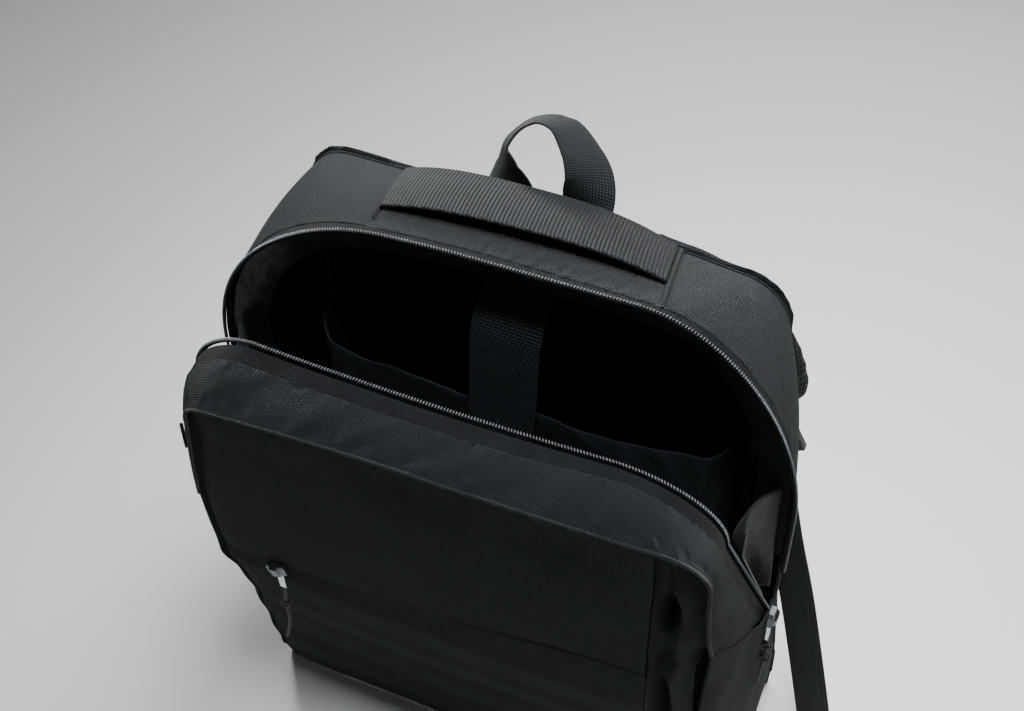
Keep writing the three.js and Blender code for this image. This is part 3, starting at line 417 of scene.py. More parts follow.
def woven_polyester(name, low, high, thread=1.15, shade=0.5, rough=0.88, wrinkle=0.25, sheen=0.25):
    """600D polyester in plain weave: thick threads over and under, seen as rows of small raised dots
    with dark gaps between. Matt, with a faint sheen from the filaments and slow shade changes."""
    material, tree, shader = new_material(
        name, Roughness=rough, Sheen_Weight=sheen, Sheen_Roughness=0.4, Specular_IOR_Level=0.14)
    uv = node(tree, "ShaderNodeUVMap", uv_map="cloth_mm").outputs["UV"]
    turn = node(tree, "ShaderNodeMapping", {"Vector": uv, "Rotation": (0, 0, math.radians(45)),
                                            "Scale": (1 / thread, 1 / thread, 1)})
    split = node(tree, "ShaderNodeSeparateXYZ", {0: turn.outputs[0]})
    waves = []
    for axis in (0, 1):
        full = node(tree, "ShaderNodeMath", {0: split.outputs[axis], 1: 2 * math.pi}, operation="MULTIPLY")
        waves.append(node(tree, "ShaderNodeMath", {0: full.outputs[0]}, operation="SINE").outputs[0])
    dots = node(tree, "ShaderNodeMath", {0: waves[0], 1: waves[1]}, operation="MULTIPLY")
    dots = node(tree, "ShaderNodeMath", {0: dots.outputs[0], 1: 0.5, 2: 0.5},
                operation="MULTIPLY_ADD").outputs[0]
    patch = node(tree, "ShaderNodeTexNoise", {"Vector": uv, "Scale": 0.03, "Detail": 3.0}).outputs["Fac"]
    fuzz = node(tree, "ShaderNodeTexNoise", {"Vector": uv, "Scale": 0.9, "Detail": 2.0}).outputs["Fac"]
    tone = node(tree, "ShaderNodeMath", {0: dots, 1: shade, 2: (1 - shade) / 2},
                operation="MULTIPLY_ADD").outputs[0]
    drift = node(tree, "ShaderNodeMath", {0: patch, 1: 0.5, 2: -0.25}, operation="MULTIPLY_ADD").outputs[0]
    grain = node(tree, "ShaderNodeMath", {0: fuzz, 1: 0.3, 2: -0.15}, operation="MULTIPLY_ADD").outputs[0]
    tone = node(tree, "ShaderNodeMath", {0: tone, 1: drift}, operation="ADD").outputs[0]
    tone = node(tree, "ShaderNodeMath", {0: tone, 1: grain}, operation="ADD").outputs[0]
    tree.links.new(ramp(tree, tone, low, high), shader.inputs["Base Color"])
    weave = node(tree, "ShaderNodeBump", {"Height": dots, "Distance": 0.0007, "Strength": 1.0})
    place = node(tree, "ShaderNodeTexCoord").outputs["Object"]
    creases = node(tree, "ShaderNodeTexNoise", {"Vector": place, "Scale": 28.0, "Detail": 3.0}).outputs["Fac"]
    bump = node(tree, "ShaderNodeBump", {
        "Height": creases, "Distance": 0.003, "Strength": wrinkle, "Normal": weave.outputs[0]})
    tree.links.new(bump.outputs[0], shader.inputs["Normal"])
    return material


def sewn(piece, *names, slot=None):
    """The piece rides with the bag and stands for these solids."""
    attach(piece, "root")
    if names:
        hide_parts(*names)
    return piece


CHARCOAL = woven_polyester("woven_600d_polyester", "#020203", "#232527", shade=1.0, sheen=0.07)


def pressed(piece, voxel, pressure, cap):
    """Swell a padded piece with the cloth solver, hold each point within a cap, and smooth it once."""
    bpy.context.view_layer.objects.active = piece
    remesh = piece.modifiers.new("remesh", "REMESH")
    remesh.mode = "VOXEL"
    remesh.voxel_size = voxel
    bpy.ops.object.modifier_apply(modifier=remesh.name)
    mesh = piece.data
    rest = np.empty(len(mesh.vertices) * 3)
    mesh.vertices.foreach_get("co", rest)
    cloth = piece.modifiers.new("cloth", "CLOTH")
    cloth.settings.use_pressure = True
    cloth.settings.uniform_pressure_force = pressure
    cloth.settings.effector_weights.gravity = 0
    cloth.settings.quality = 5
    cloth.point_cache.frame_end = 20
    for step in range(1, 21):
        scene.frame_set(step)
    solved = piece.evaluated_get(bpy.context.evaluated_depsgraph_get()).to_mesh()
    moved = np.empty(len(solved.vertices) * 3)
    solved.vertices.foreach_get("co", moved)
    piece.evaluated_get(bpy.context.evaluated_depsgraph_get()).to_mesh_clear()
    piece.modifiers.remove(cloth)
    scene.frame_set(1)
    shift = (moved - rest).reshape(-1, 3)
    far = np.linalg.norm(shift, axis=1, keepdims=True)
    shift *= np.minimum(1, cap * MM / np.maximum(far, 1e-9))
    mesh.vertices.foreach_set("co", rest + shift.ravel())
    smooth = piece.modifiers.new("smooth", "SMOOTH")
    smooth.iterations = 3
    bpy.ops.object.modifier_apply(modifier=smooth.name)
    round_off = piece.modifiers.new("round", "SUBSURF")
    round_off.levels = round_off.render_levels = 1
    bpy.ops.object.modifier_apply(modifier=round_off.name)
    mesh = piece.data
    mesh.polygons.foreach_set("use_smooth", [True] * len(mesh.polygons))
    return piece


def vertices(piece):
    co = np.empty(len(piece.data.vertices) * 3)
    piece.data.vertices.foreach_get("co", co)
    return co.reshape(-1, 3) / MM


def fitted(piece, name):
    """Give a pressed piece back the length, width and depth that it has in the frame."""
    co = vertices(piece)
    low, high = (np.array(corner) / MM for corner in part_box(name))
    own_low, own_high = co.min(0), co.max(0)
    co = low + (co - own_low) * (high - low) / (own_high - own_low)
    piece.data.vertices.foreach_set("co", (co * MM).ravel())
    return co


def seam_line(name, points, radius, material, sides=8):
    """A thin rounded line along points, such as a bound seam."""
    along = unit(np.gradient(points, axis=0))
    out = unit(np.cross(along, (0.02, 1, 0.3)))
    up = np.cross(out, along)
    turn = np.linspace(0, 2 * np.pi, sides, endpoint=False)
    rings = points[:, None, :] + radius * (
        np.cos(turn)[None, :, None] * out[:, None, :] + np.sin(turn)[None, :, None] * up[:, None, :])
    run = np.concatenate([[0], np.cumsum(np.linalg.norm(np.diff(points, axis=0), axis=1))])
    size = (len(run), sides)
    uv = np.stack([np.broadcast_to(turn * radius, size), np.broadcast_to(run[:, None], size)], -1)
    return loft(name, rings, material, uv.reshape(-1, 2))


ARCH = np.linspace(1, -1, 161)
BACK_LAYERS = [
    (0, GAP), (0.96, 0.35 * BACK_PAD), (0.5 * BACK_PAD, 0.75 * BACK_PAD), (1.1 * BACK_PAD, BACK_PAD)]
layers = []
for inset, y in BACK_LAYERS:
    edge = arch_points(BACK_ARCH, ARCH)
    layers.append(vec(
        edge[:, 0] * (1 - inset / HALF), BACK_DEPTH + y, mix(edge[:, 2], HEIGHT / 2, 2 * inset / HEIGHT)))
back_panel = loft("back_panel_padded", np.stack(layers), CHARCOAL)
pressed(back_panel, 0.003, 3.0, 2.0)
co = fitted(back_panel, "back_panel")
# A little wider and higher, so that its rolled edge covers the gusset's seam allowance.
SPARE_WIDTH, SPARE_HEIGHT = 1.01, 1.004
co[:, 0] *= SPARE_WIDTH
co[:, 2] = FACE_FOOT + (co[:, 2] - FACE_FOOT) * SPARE_HEIGHT
back_panel.data.vertices.foreach_set("co", (co * MM).ravel())
set_uv(back_panel.data, co[:, [0, 2]])
sewn(back_panel, "back_panel")

# Rear gusset: one strip of the woven cloth over the top and down both sides, sewn to the back panel
# along one edge and to the zip along the other.


def rear_shell(s, w):
    near, far = arch_points(BACK_ARCH, s), arch_points(REAR_ZIP, s)
    out = unit(vec(far[..., 0], 0, np.maximum(0, far[..., 2] - 0.7 * HEIGHT)))
    crown = 3 * np.sin(np.pi * np.clip(w, 0, 1)) * np.minimum(1, far[..., 2] / (0.5 * HEIGHT))
    return mix(near, far, w[..., None]) + out * crown[..., None]


def rear_gusset_at(u, v):
    s, w = 2 * u - 1, 1 - v * (1 + 1.2 / GUSSET_WIDTH)
    p = rear_shell(s, w)
    out = unit(vec(p[..., 0], 0, np.maximum(0, p[..., 2] - 0.7 * HEIGHT)))
    # A shallow wave down the loose sides, a pucker beside the zip, and a dip at the handle's seams.
    loose = np.clip((np.abs(s) - 0.55) / 0.2, 0, 1)
    wave = 1.1 * ripple(30 * s + 3 * w, 1.0) * loose * np.sin(np.pi * w)
    pucker = 0.5 * ripple(150 * s, 2.0) * hump(w, 0.93, 0.08)
    seams = sum(hump(p[..., 0], x + 10 * w, 1.6) for x in (-70.5, 70.0)) * (np.abs(s) < 0.5)
    return p + out * (wave + pucker - 1.0 * seams)[..., None]


rear_gusset = wall("rear_gusset_cloth", rear_gusset_at, 300, 30, CLOTH, CHARCOAL, size=(900, 56))
sewn(rear_gusset, "rear_gusset")
back_seam = arch_points(BACK_ARCH, np.linspace(1, -1, 400)) + np.array((0, 0.2, 0))
sewn(seam_line("back_seam_piping", back_seam, 0.9, CHARCOAL), slot="rear_gusset")

# Main zips: a ribbed tape sewn under each gusset's edge, with a spiral of moulded teeth along it.


def zip_cloth():
    """Woven zip tape with fine ribs, matt and nearly black."""
    material, tree, shader = new_material(
        "ribbed_zip_tape", Roughness=0.85, Sheen_Weight=0.03, Specular_IOR_Level=0.12)
    uv = node(tree, "ShaderNodeUVMap", uv_map="cloth_mm").outputs["UV"]
    ribs = node(tree, "ShaderNodeTexWave", {"Vector": uv, "Scale": 0.35, "Distortion": 0.2},
                bands_direction="X").outputs["Fac"]
    noise = node(tree, "ShaderNodeTexNoise", {"Vector": uv, "Scale": 0.06, "Detail": 3.0}).outputs["Fac"]
    tone = node(tree, "ShaderNodeMath", {0: ribs, 1: noise}, operation="MULTIPLY").outputs[0]
    tree.links.new(ramp(tree, tone, "#060607", "#202123"), shader.inputs["Base Color"])
    bump = node(tree, "ShaderNodeBump", {"Height": ribs, "Distance": 0.0004, "Strength": 0.7})
    tree.links.new(bump.outputs[0], shader.inputs["Normal"])
    return material


ZIP_TAPE, ZIP_BORDER, ZIP_TAPE_THICK, COIL, SLIDER_LONG = 11.0, 5.0, 1.2, 2.4, 12.0
ZIP_CLOTH = zip_cloth()
ARCH_STEPS = 44
ZIP_STEPS = 240
zip_end = next(s for s in np.arange(1, 0, -0.002) if arch_points(REAR_ZIP, s)[2] >= ZIP_FOOT + SLIDER_LONG)
REAR_SPAN = 1 - 2 * math.ceil((1 - zip_end) * ARCH_STEPS / 2) / ARCH_STEPS
TUCKED_REAR, TUCKED_FRONT = 1.5, 2.2


def rear_strip(low, high):
    def at(u, v):
        s = mix(-REAR_SPAN, REAR_SPAN, u)
        edge, far = arch_points(REAR_ZIP, s), arch_points(BACK_ARCH, s)
        return edge + unit(edge - far) * mix(high, low, v)[..., None]
    return at


def front_share(s, distance):
    near, far = arch_points(FRONT_ZIP, s), arch_points(FRONT_SEAM, s)
    return distance / np.linalg.norm(near - far, axis=-1)


def front_shell(s, t):
    near, far = arch_points(FRONT_ZIP, s), arch_points(FRONT_SEAM, s)
    out = unit(vec(near[..., 0], -0.8 * HALF, np.maximum(0, near[..., 2] - 0.5 * HEIGHT)))
    return mix(near, far, t[..., None]) + out * (3.5 * np.sin(np.pi * t))[..., None]


def front_strip(low, high):
    def at(u, v):
        s = 2 * u - 1
        return front_shell(s, front_share(s, mix(high, low, v)))
    return at


def tree_of_beads(name):
    """Geometry Nodes: a small rounded bead at every point, laid along that point's own two directions."""
    tree = bpy.data.node_groups.new(name, "GeometryNodeTree")
    face = tree.interface
    face.new_socket("Geometry", in_out="INPUT", socket_type="NodeSocketGeometry")
    for label, value in (("Length", 0.002), ("Width", 0.0008), ("Height", 0.0006)):
        face.new_socket(label, in_out="INPUT", socket_type="NodeSocketFloat").default_value = value
    face.new_socket("Material", in_out="INPUT", socket_type="NodeSocketMaterial")
    face.new_socket("Geometry", in_out="OUTPUT", socket_type="NodeSocketGeometry")
    inputs = node(tree, "NodeGroupInput").outputs
    size = node(tree, "ShaderNodeCombineXYZ", {0: inputs["Length"], 1: inputs["Width"], 2: inputs["Height"]})
    ball = node(tree, "GeometryNodeMeshUVSphere", {"Segments": 6, "Rings": 4, "Radius": 0.5})
    bead = node(tree, "GeometryNodeTransform", {
        "Geometry": ball.outputs[0], "Rotation": (0, math.pi / 2, 0)})
    bead = node(tree, "GeometryNodeTransform", {"Geometry": bead.outputs[0], "Scale": size.outputs[0]})
    along = node(tree, "GeometryNodeInputNamedAttribute", {"Name": "along"}, data_type="FLOAT_VECTOR")
    up = node(tree, "GeometryNodeInputNamedAttribute", {"Name": "up"}, data_type="FLOAT_VECTOR")
    turn = node(tree, "FunctionNodeAxesToRotation", {
        "Primary Axis": along.outputs[0], "Secondary Axis": up.outputs[0]},
        primary_axis="X", secondary_axis="Z")
    laid = node(tree, "GeometryNodeInstanceOnPoints", {
        "Points": inputs["Geometry"], "Instance": bead.outputs[0], "Rotation": turn.outputs[0]})
    real = node(tree, "GeometryNodeRealizeInstances", {0: laid.outputs[0]})
    done = node(tree, "GeometryNodeSetMaterial", {
        "Geometry": real.outputs[0], "Material": inputs["Material"]})
    node(tree, "NodeGroupOutput", {0: done.outputs[0]})
    return tree


BEADS = tree_of_beads("beads_along_a_path")


def beads(name, points, along, up, size, material):
    """Beads of one size at points in millimetres, as a plain mesh."""
    mesh = bpy.data.meshes.new(name + "_points")
    mesh.from_pydata((points * MM).tolist(), [], [])
    for key, values in (("along", along), ("up", up)):
        attribute = mesh.attributes.new(key, "FLOAT_VECTOR", "POINT")
        attribute.data.foreach_set("vector", unit(values).astype(np.float32).ravel())
    source = bpy.data.objects.new(name + "_points", mesh)
    scene.collection.objects.link(source)
    modifier = source.modifiers.new("beads", "NODES")
    modifier.node_group = BEADS
    sockets = {item.name: item.identifier for item in BEADS.interface.items_tree if item.in_out == "INPUT"}
    for label, value in zip(("Length", "Width", "Height"), size):
        modifier[sockets[label]] = value * MM
    modifier[sockets["Material"]] = material
    graph = bpy.context.evaluated_depsgraph_get()
    result = bpy.data.meshes.new_from_object(source.evaluated_get(graph))
    bpy.data.objects.remove(source)
    result.polygons.foreach_set("use_smooth", [True] * len(result.polygons))
    made = bpy.data.objects.new(name, result)
    scene.collection.objects.link(made)
    return made


def even_points(at, pitch, samples=4000):
    """Points a pitch apart along at(t), with their directions and the parameter of each."""
    t = np.linspace(0, 1, samples)
    p = at(t)
    run = np.concatenate([[0], np.cumsum(np.linalg.norm(np.diff(p, axis=0), axis=1))])
    marks = np.arange(pitch / 2, run[-1], pitch)
    ts = np.interp(marks, run, t)
    along = unit(at(np.minimum(1, ts + 1e-3)) - at(np.maximum(0, ts - 1e-3)))
    return at(ts), along, ts


def zip_teeth():
    """Nylon coil teeth: smooth, dark grey and glossy, so that each catches the light."""
    material, tree, shader = new_material("nylon_zip_teeth", Roughness=0.35, Specular_IOR_Level=0.6)
    place = node(tree, "ShaderNodeTexCoord").outputs["Object"]
    noise = node(tree, "ShaderNodeTexNoise", {"Vector": place, "Scale": 300.0}).outputs["Fac"]
    tree.links.new(ramp(tree, noise, "#1c1d20", "#626569"), shader.inputs["Base Color"])
    return material


TEETH = zip_teeth()
BINDING_CLOTH = woven_polyester("folded_seam_binding", "#08090a", "#232527", shade=0.6)
TOOTH_PITCH = 1.5
for zip_name, strip, tape_range, coil_range in (
        ("rear", rear_strip, (-TUCKED_REAR, ZIP_BORDER), (ZIP_BORDER + GAP, ZIP_BORDER + GAP + COIL)),
        ("front", front_strip, (COIL + SEAM + GAP, ZIP_TAPE + TUCKED_FRONT), (0.0, COIL))):
    tape = wall(f"{zip_name}_zip_tape_cloth", strip(*tape_range), ZIP_STEPS, 4, ZIP_TAPE_THICK, ZIP_CLOTH,
                lift=-0.4, roll=0.5, size=(900, 8))
    sewn(tape, f"{zip_name}_zip_tape")
    middle = sum(coil_range) / 2
    lay = strip(middle, middle)
    core = wall(f"{zip_name}_zip_core", strip(middle - 0.5, middle + 0.5), ZIP_STEPS, 1, 1.0, ZIP_CLOTH,
                lift=-0.4, roll=0.3, size=(900, 1))
    p, along, ts = even_points(lambda t: lay(t, np.full_like(t, 0.5)), TOOTH_PITCH)
    across = strip(*coil_range)(ts, np.zeros_like(ts)) - strip(*coil_range)(ts, np.ones_like(ts))
    up = np.cross(along, across)
    teeth = beads(f"{zip_name}_zip_teeth", p - 0.35 * unit(up), across, up, (2.4, 0.95, 1.7), TEETH)
    sewn(core, slot=f"{zip_name}_zip_coil")
    sewn(teeth, f"{zip_name}_zip_coil")

# Front gusset: the padded strip of cloth between the front zip and the front panel. It is loose, so it
# sags between its seams and gathers at its right end.


def front_gusset_at(u, v):
    s = 2 * u - 1
    t = mix(np.ones_like(u), front_share(s, ZIP_TAPE + SEAM), v)
    p = front_shell(s, t)
    near = arch_points(FRONT_ZIP, s)
    out = unit(vec(near[..., 0], -0.8 * HALF, np.maximum(0, near[..., 2] - 0.5 * HEIGHT)))
    zip_pucker = 0.45 * ripple(170 * s, 0.4) * hump(t, 0.36, 0.09)
    seam_pucker = 0.9 * ripple(95 * s, 1.3) * hump(t, 0.86, 0.1) * np.clip(8 * (1 - t), 0, 1)
    wave = 0.8 * ripple(26 * s + 4 * t, 3.0) * np.sin(np.pi * t)
    return p + out * (zip_pucker + seam_pucker + wave)[..., None]


front_gusset = wall("front_gusset_cloth", front_gusset_at, 280, 36, CLOTH, CHARCOAL, size=(800, 34))
sewn(front_gusset, "front_gusset")
front_seam = arch_points(FRONT_SEAM, np.linspace(1, -1, 400)) + np.array((0, 0.6, -0.8))
sewn(seam_line("front_seam_piping", front_seam, 1.2, BINDING_CLOTH), slot="front_gusset")

# Front panels: the face of the front pocket, woven cloth cut in two by its slanting zip. The upper part
# is flat to the gusset's seam, and the lower part leans back to the base with soft dents.
FACE_PROFILE = [(0, 0.57), (0.08, 0.65), (0.2, 0.715), (0.33, 0.785), (0.44, 0.87), (0.55, 0.935),
                (0.66, 0.965), (0.8, 0.965), (0.9, 0.96), (1, 0.98)]
FACE_EDGE = [(0, 1.11), (0.1, 1.09), (0.25, 1.07), (0.32, 1.056), (0.38, 1.036), (0.44, 1.056), (0.5, 1.088),
             (0.58, 1.06), (0.685, 1.066), (0.775, 1.04), (0.89, 1), (1, 1)]
FACE_LEFT = 0.88 * HALF - CLOTH - GAP
FACE_NARROW = 6.0
SLIT = (0.468 * HEIGHT, 0.551 * HEIGHT)
SLIT_OPEN, RECESS_FALL = 4.6, 30


def table(rows, at):
    keys, values = np.array(rows).T
    at = np.asarray(at, float)
    k = np.clip(np.searchsorted(keys, at), 1, len(keys) - 1)
    t = np.clip((at - keys[k - 1]) / (keys[k] - keys[k - 1]), 0, 1)
    return mix(values[k - 1], values[k], t * t * (3 - 2 * t))


def seam_over(x):
    x = np.asarray(x, float)
    k = np.where(x < 0, 0, 1)
    half = np.array(FRONT_SEAM["half"])[k] * HALF
    radius = np.array(FRONT_SEAM["radius"])[k] * HALF
    a = np.abs(x)
    corner = half - radius
    angle = np.arcsin(np.clip((a - corner) / radius, 0, 1))
    s = np.where(a <= corner, TOP_SPAN * a / corner, mix(TOP_SPAN, CORNER_SPAN, angle / (np.pi / 2)))
    return arch_points(FRONT_SEAM, np.where(x < 0, -s, s))


def face_x(u, z):
    down = np.clip(1 - z / (0.96 * FRONT_TOP), 0, 1)
    left = -FACE_LEFT * table(FACE_EDGE, z / FRONT_TOP)
    return mix(left, POCKET_EDGE - FACE_NARROW * down, u)


def face(u, z, recess=0.0):
    x = face_x(u, z)
    seam = seam_over(mix(-FACE_LEFT, POCKET_EDGE, u))
    share = table(FACE_PROFILE, z / seam[..., 2]) / 0.98
    belly = 3 * np.sin(np.pi * u) * np.sin(np.pi * np.minimum(1, z / seam[..., 2]))
    rounded = 3 * np.maximum(0, 1 - u / 0.08) ** 2
    return vec(x, seam[..., 1] * share - belly + rounded + recess, z)


def slit_height(u):
    return mix(SLIT[0], SLIT[1], np.minimum(1, u * 1.15))


def face_top(u):
    return seam_over(mix(-FACE_LEFT, POCKET_EDGE, u))[..., 2] - CLOTH - GAP


def lower_recess(u, z):
    return (CLOTH + 1 + GAP) * np.maximum(0, 1 - np.abs(slit_height(u) - z) / RECESS_FALL) ** 2


def face_relief(u, z):
    """Depth of the dents and folds of the face, in millimetres into the bag."""
    x = face_x(u, z)
    top = seam_over(mix(-FACE_LEFT, POCKET_EDGE, u))[..., 2]
    slit = slit_height(u)
    seam = 1.1 * ripple(0.35 * x, 0.9) * hump(z, top - 8, 6)
    dents = 2.0 * hump(x, -12, 26) * hump(z, top - 14, 14) + 1.8 * hump(x, 66, 22) * hump(z, top - 20, 16)
    below = 1.6 * hump(z, slit - 20, 12) * (0.6 + 0.4 * ripple(0.05 * x, 2.0))
    folds = 0.5 * ripple(0.05 * x + 0.045 * z, 1.7) * np.clip(z / 60, 0, 1) * np.clip((slit - z) / 30, 0, 1)
    return seam + dents + below + folds


def upper_at(u, v):
    z = mix(slit_height(u), face_top(u), v)
    return face(u, z, 1 + face_relief(u, z) * np.clip(v * 6, 0, 1) * np.clip((1 - v) * 14, 0, 1))


def lower_at(u, v):
    z = mix(FACE_FOOT, slit_height(u) - SLIT_OPEN, v)
    return face(u, z, 1 + lower_recess(u, z) + face_relief(u, z) * np.clip(v * 6, 0, 1))


upper = wall("front_panel_upper_cloth", upper_at, 130, 70, CLOTH, CHARCOAL, size=(240, 120))
lower = wall("front_panel_lower_cloth", lower_at, 130, 90, CLOTH, CHARCOAL, size=(240, 180))
sewn(upper, "front_panel_upper")
sewn(lower, "front_panel_lower")


def pocket_tape_at(u, v):
    along = mix(1 / 16, 1 - 1 / 16, u)
    return face(along, slit_height(along) + mix(-3.6, 4, v), 1 + CLOTH + SEAM)


pocket_tape = wall("pocket_zip_tape_cloth", pocket_tape_at, 90, 3, ZIP_TAPE_THICK, ZIP_CLOTH, roll=0.5,
                   size=(210, 8))
sewn(pocket_tape, "pocket_zip_tape")

# Side panels: plain cloth below the ends of the gusset, from the zip's foot forward to the face.
CORNER_X = 0.85 * HALF
CORNER_BLEND = 16


def right_corner(z):
    z = np.asarray(z, float)
    share = table(FACE_PROFILE, z / FRONT_TOP)
    setback = 0.13 * np.minimum(1, z / (0.4 * HEIGHT))
    below = vec(CORNER_X, FRONT_REACH * (setback - share), z)
    above = arch_side(FRONT_SEAM, 1, z) + np.array((-CLOTH - GAP, CLOTH + GAP, 0))
    t = np.clip((z - GUSSET_FOOT + CORNER_BLEND) / CORNER_BLEND, 0, 1)
    return mix(below, above, (t * t * (3 - 2 * t))[..., None])


def smooth_step(value, low, high):
    t = np.clip((value - low) / (high - low), 0, 1)
    return t * t * (3 - 2 * t)


def side_panel(sign, w, v, corner):
    top = mix(ZIP_FOOT, GUSSET_FOOT, w) - SEAM
    z = mix(FACE_FOOT, top, v)
    rear = vec(sign * arch_side(REAR_ZIP, sign, z)[..., 0], MOUTH_Y - 2 * SEAM, z)
    end = corner(z)
    turn = vec(rear[..., 0] + 2, end[..., 1] + 4, z)
    a, b = mix(rear, turn, w[..., None]), mix(turn, end, w[..., None])
    gusset_end = front_shell(np.full_like(z, sign), w)
    joined = vec(sign * gusset_end[..., 0], gusset_end[..., 1], z)
    sewn_on = smooth_step(v, 0.6, 1) * smooth_step(w, 0.1, 0.4)
    return mix(mix(a, b, w[..., None]), joined, sewn_on[..., None])


def right_end(z):
    return vec(CORNER_X + CLOTH + GAP, right_corner(np.minimum(z, GUSSET_FOOT - CORNER_BLEND))[..., 1] - 1, z)


def left_end(z):
    zero = np.zeros_like(z)
    return vec(-face_x(zero, z) + CLOTH + GAP, face(zero, z, 1)[..., 1], z)


def side_relief(w, v, seed):
    return (1.3 * ripple(5 * w + 7 * v, seed) + 0.7 * ripple(13 * v - 6 * w, seed + 1)) * (
        np.sin(np.pi * w) * np.clip(6 * v, 0, 1) * np.clip(6 * (1 - v), 0, 1))


def right_side_at(u, v):
    return side_panel(1, 1 - u, v, right_end) - vec(side_relief(1 - u, v, 0.3), 0, 0)


def left_side_at(u, v):
    p = side_panel(-1, u, v, left_end)
    return vec(-p[..., 0] + side_relief(u, v, 2.2), p[..., 1], p[..., 2])


for word, side_at in (("right", right_side_at), ("left", left_side_at)):
    sewn(wall(f"side_panel_{word}_cloth", side_at, 40, 90, CLOTH, CHARCOAL, size=(60, 190)),
         f"side_panel_{word}")

# Pocket bellows: the pleated cloth on the right of the front pocket, folded in below a puffed top.
PLEAT_VALLEY = [(0, 0.1), (0.3, 0.3), (0.5, 0.42), (0.66, 0.12), (0.76, 0.1), (0.83, 0.3), (0.92, 0.08),
                (1, 0.02)]
PLEAT_PUFF = [(0, 0.02), (0.3, 0.03), (0.5, 0.05), (0.66, 0.14), (0.76, 0.1), (0.83, 0.02), (0.92, 0.1),
              (1, 0.02)]
PLEAT_DEPTH = FRONT_REACH * 0.5


def bellows_at(w, v):
    z = mix(FACE_FOOT, seam_over(POCKET_EDGE)[2] - 3 * CLOTH, v)
    one = np.ones_like(z)
    near = face(one, z, 1 + CLOTH + SEAM + lower_recess(one, z))
    far = right_corner(z) + np.array((-GAP, CLOTH, 0))
    valley = table(PLEAT_VALLEY, v) * PLEAT_DEPTH
    puff = table(PLEAT_PUFF, v) * PLEAT_DEPTH
    bend = valley * np.sin(np.pi * np.minimum(1, w * 1.6)) ** 2 - puff * np.sin(np.pi * w) ** 2
    fine = 1.0 * ripple(9 * v + 5 * w, 1.1) * np.sin(np.pi * w)
    return mix(near, far, w[..., None]) + vec(0, bend + fine, 0)


sewn(wall("front_bellows_cloth", bellows_at, 36, 140, CLOTH, CHARCOAL, size=(30, 300)),
     "front_bellows_right")

# Base: a covered board under the whole bag.
base_outline = []
left, right = -0.985 * HALF + TUCK[0], 0.985 * HALF - TUCK[1]
front, rear = -0.54 * FRONT_REACH, BACK_DEPTH + BACK_PAD
FRONT_RADIUS, REAR_RADIUS = 9, 6
for cx, cy, r, start in (
        (right - FRONT_RADIUS, front + FRONT_RADIUS, FRONT_RADIUS, -90),
        (right - REAR_RADIUS, rear - REAR_RADIUS, REAR_RADIUS, 0),
        (left + REAR_RADIUS, rear - REAR_RADIUS, REAR_RADIUS, 90),
        (left + FRONT_RADIUS, front + FRONT_RADIUS, FRONT_RADIUS, 180)):
    for k in range(9):
        a = math.radians(start + 90 * k / 8)
        base_outline.append((cx + r * math.cos(a), cy + r * math.sin(a)))
base_outline = np.array(base_outline)
base_rings = []
for inset, z in ((1.2, 0.0), (0.35, 0.25), (0, 0.8), (0, BASE_BOARD - 0.8), (0.5, BASE_BOARD)):
    shrink = 1 - inset / HALF
    base_rings.append(vec(base_outline[:, 0] * shrink, base_outline[:, 1] * (1 - inset / 60), z))
base = loft("bottom_panel_cloth", np.stack(base_rings), CHARCOAL)
set_uv(base.data, vertices(base)[:, :2])
sewn(base, "bottom_panel")

# Carry handle: ribbed webbing sewn over the top gusset at two cross seams, arched for the fingers.


def ribbed_webbing(name, low, high, rib=2.1, cross=1.05, along=True, rough=0.7, depth=0.0006):
    """Polyester webbing: round ribs side by side, each a chain of small threads."""
    material, tree, shader = new_material(name, Roughness=rough, Sheen_Weight=0.05, Specular_IOR_Level=0.2)
    uv = node(tree, "ShaderNodeUVMap", uv_map="cloth_mm").outputs["UV"]
    split = node(tree, "ShaderNodeSeparateXYZ", {0: uv})
    wide, long = (split.outputs[0], split.outputs[1]) if along else (split.outputs[1], split.outputs[0])
    rib_turn = node(tree, "ShaderNodeMath", {0: wide, 1: math.pi / rib}, operation="MULTIPLY").outputs[0]
    rib_wave = node(tree, "ShaderNodeMath", {0: rib_turn}, operation="SINE").outputs[0]
    ribs = node(tree, "ShaderNodeMath", {0: rib_wave}, operation="ABSOLUTE").outputs[0]
    step = node(tree, "ShaderNodeMath", {0: wide, 1: 0.5 * math.pi / rib}, operation="MULTIPLY").outputs[0]
    row = node(tree, "ShaderNodeMath", {0: long, 1: 2 * math.pi / cross}, operation="MULTIPLY").outputs[0]
    row = node(tree, "ShaderNodeMath", {0: row, 1: step}, operation="ADD").outputs[0]
    threads = node(tree, "ShaderNodeMath", {0: row}, operation="SINE").outputs[0]
    threads = node(tree, "ShaderNodeMath", {0: threads, 1: 0.25, 2: 0.75},
                   operation="MULTIPLY_ADD").outputs[0]
    height = node(tree, "ShaderNodeMath", {0: ribs, 1: threads}, operation="MULTIPLY").outputs[0]
    noise = node(tree, "ShaderNodeTexNoise", {"Vector": uv, "Scale": 0.05, "Detail": 3.0}).outputs["Fac"]
    drift = node(tree, "ShaderNodeMath", {0: noise, 1: 0.3, 2: -0.15}, operation="MULTIPLY_ADD").outputs[0]
    tone = node(tree, "ShaderNodeMath", {0: height, 1: drift}, operation="ADD").outputs[0]
    tree.links.new(ramp(tree, tone, low, high, 0.1, 1.0), shader.inputs["Base Color"])
    bump = node(tree, "ShaderNodeBump", {"Height": height, "Distance": depth, "Strength": 0.9})
    tree.links.new(bump.outputs[0], shader.inputs["Normal"])
    return material


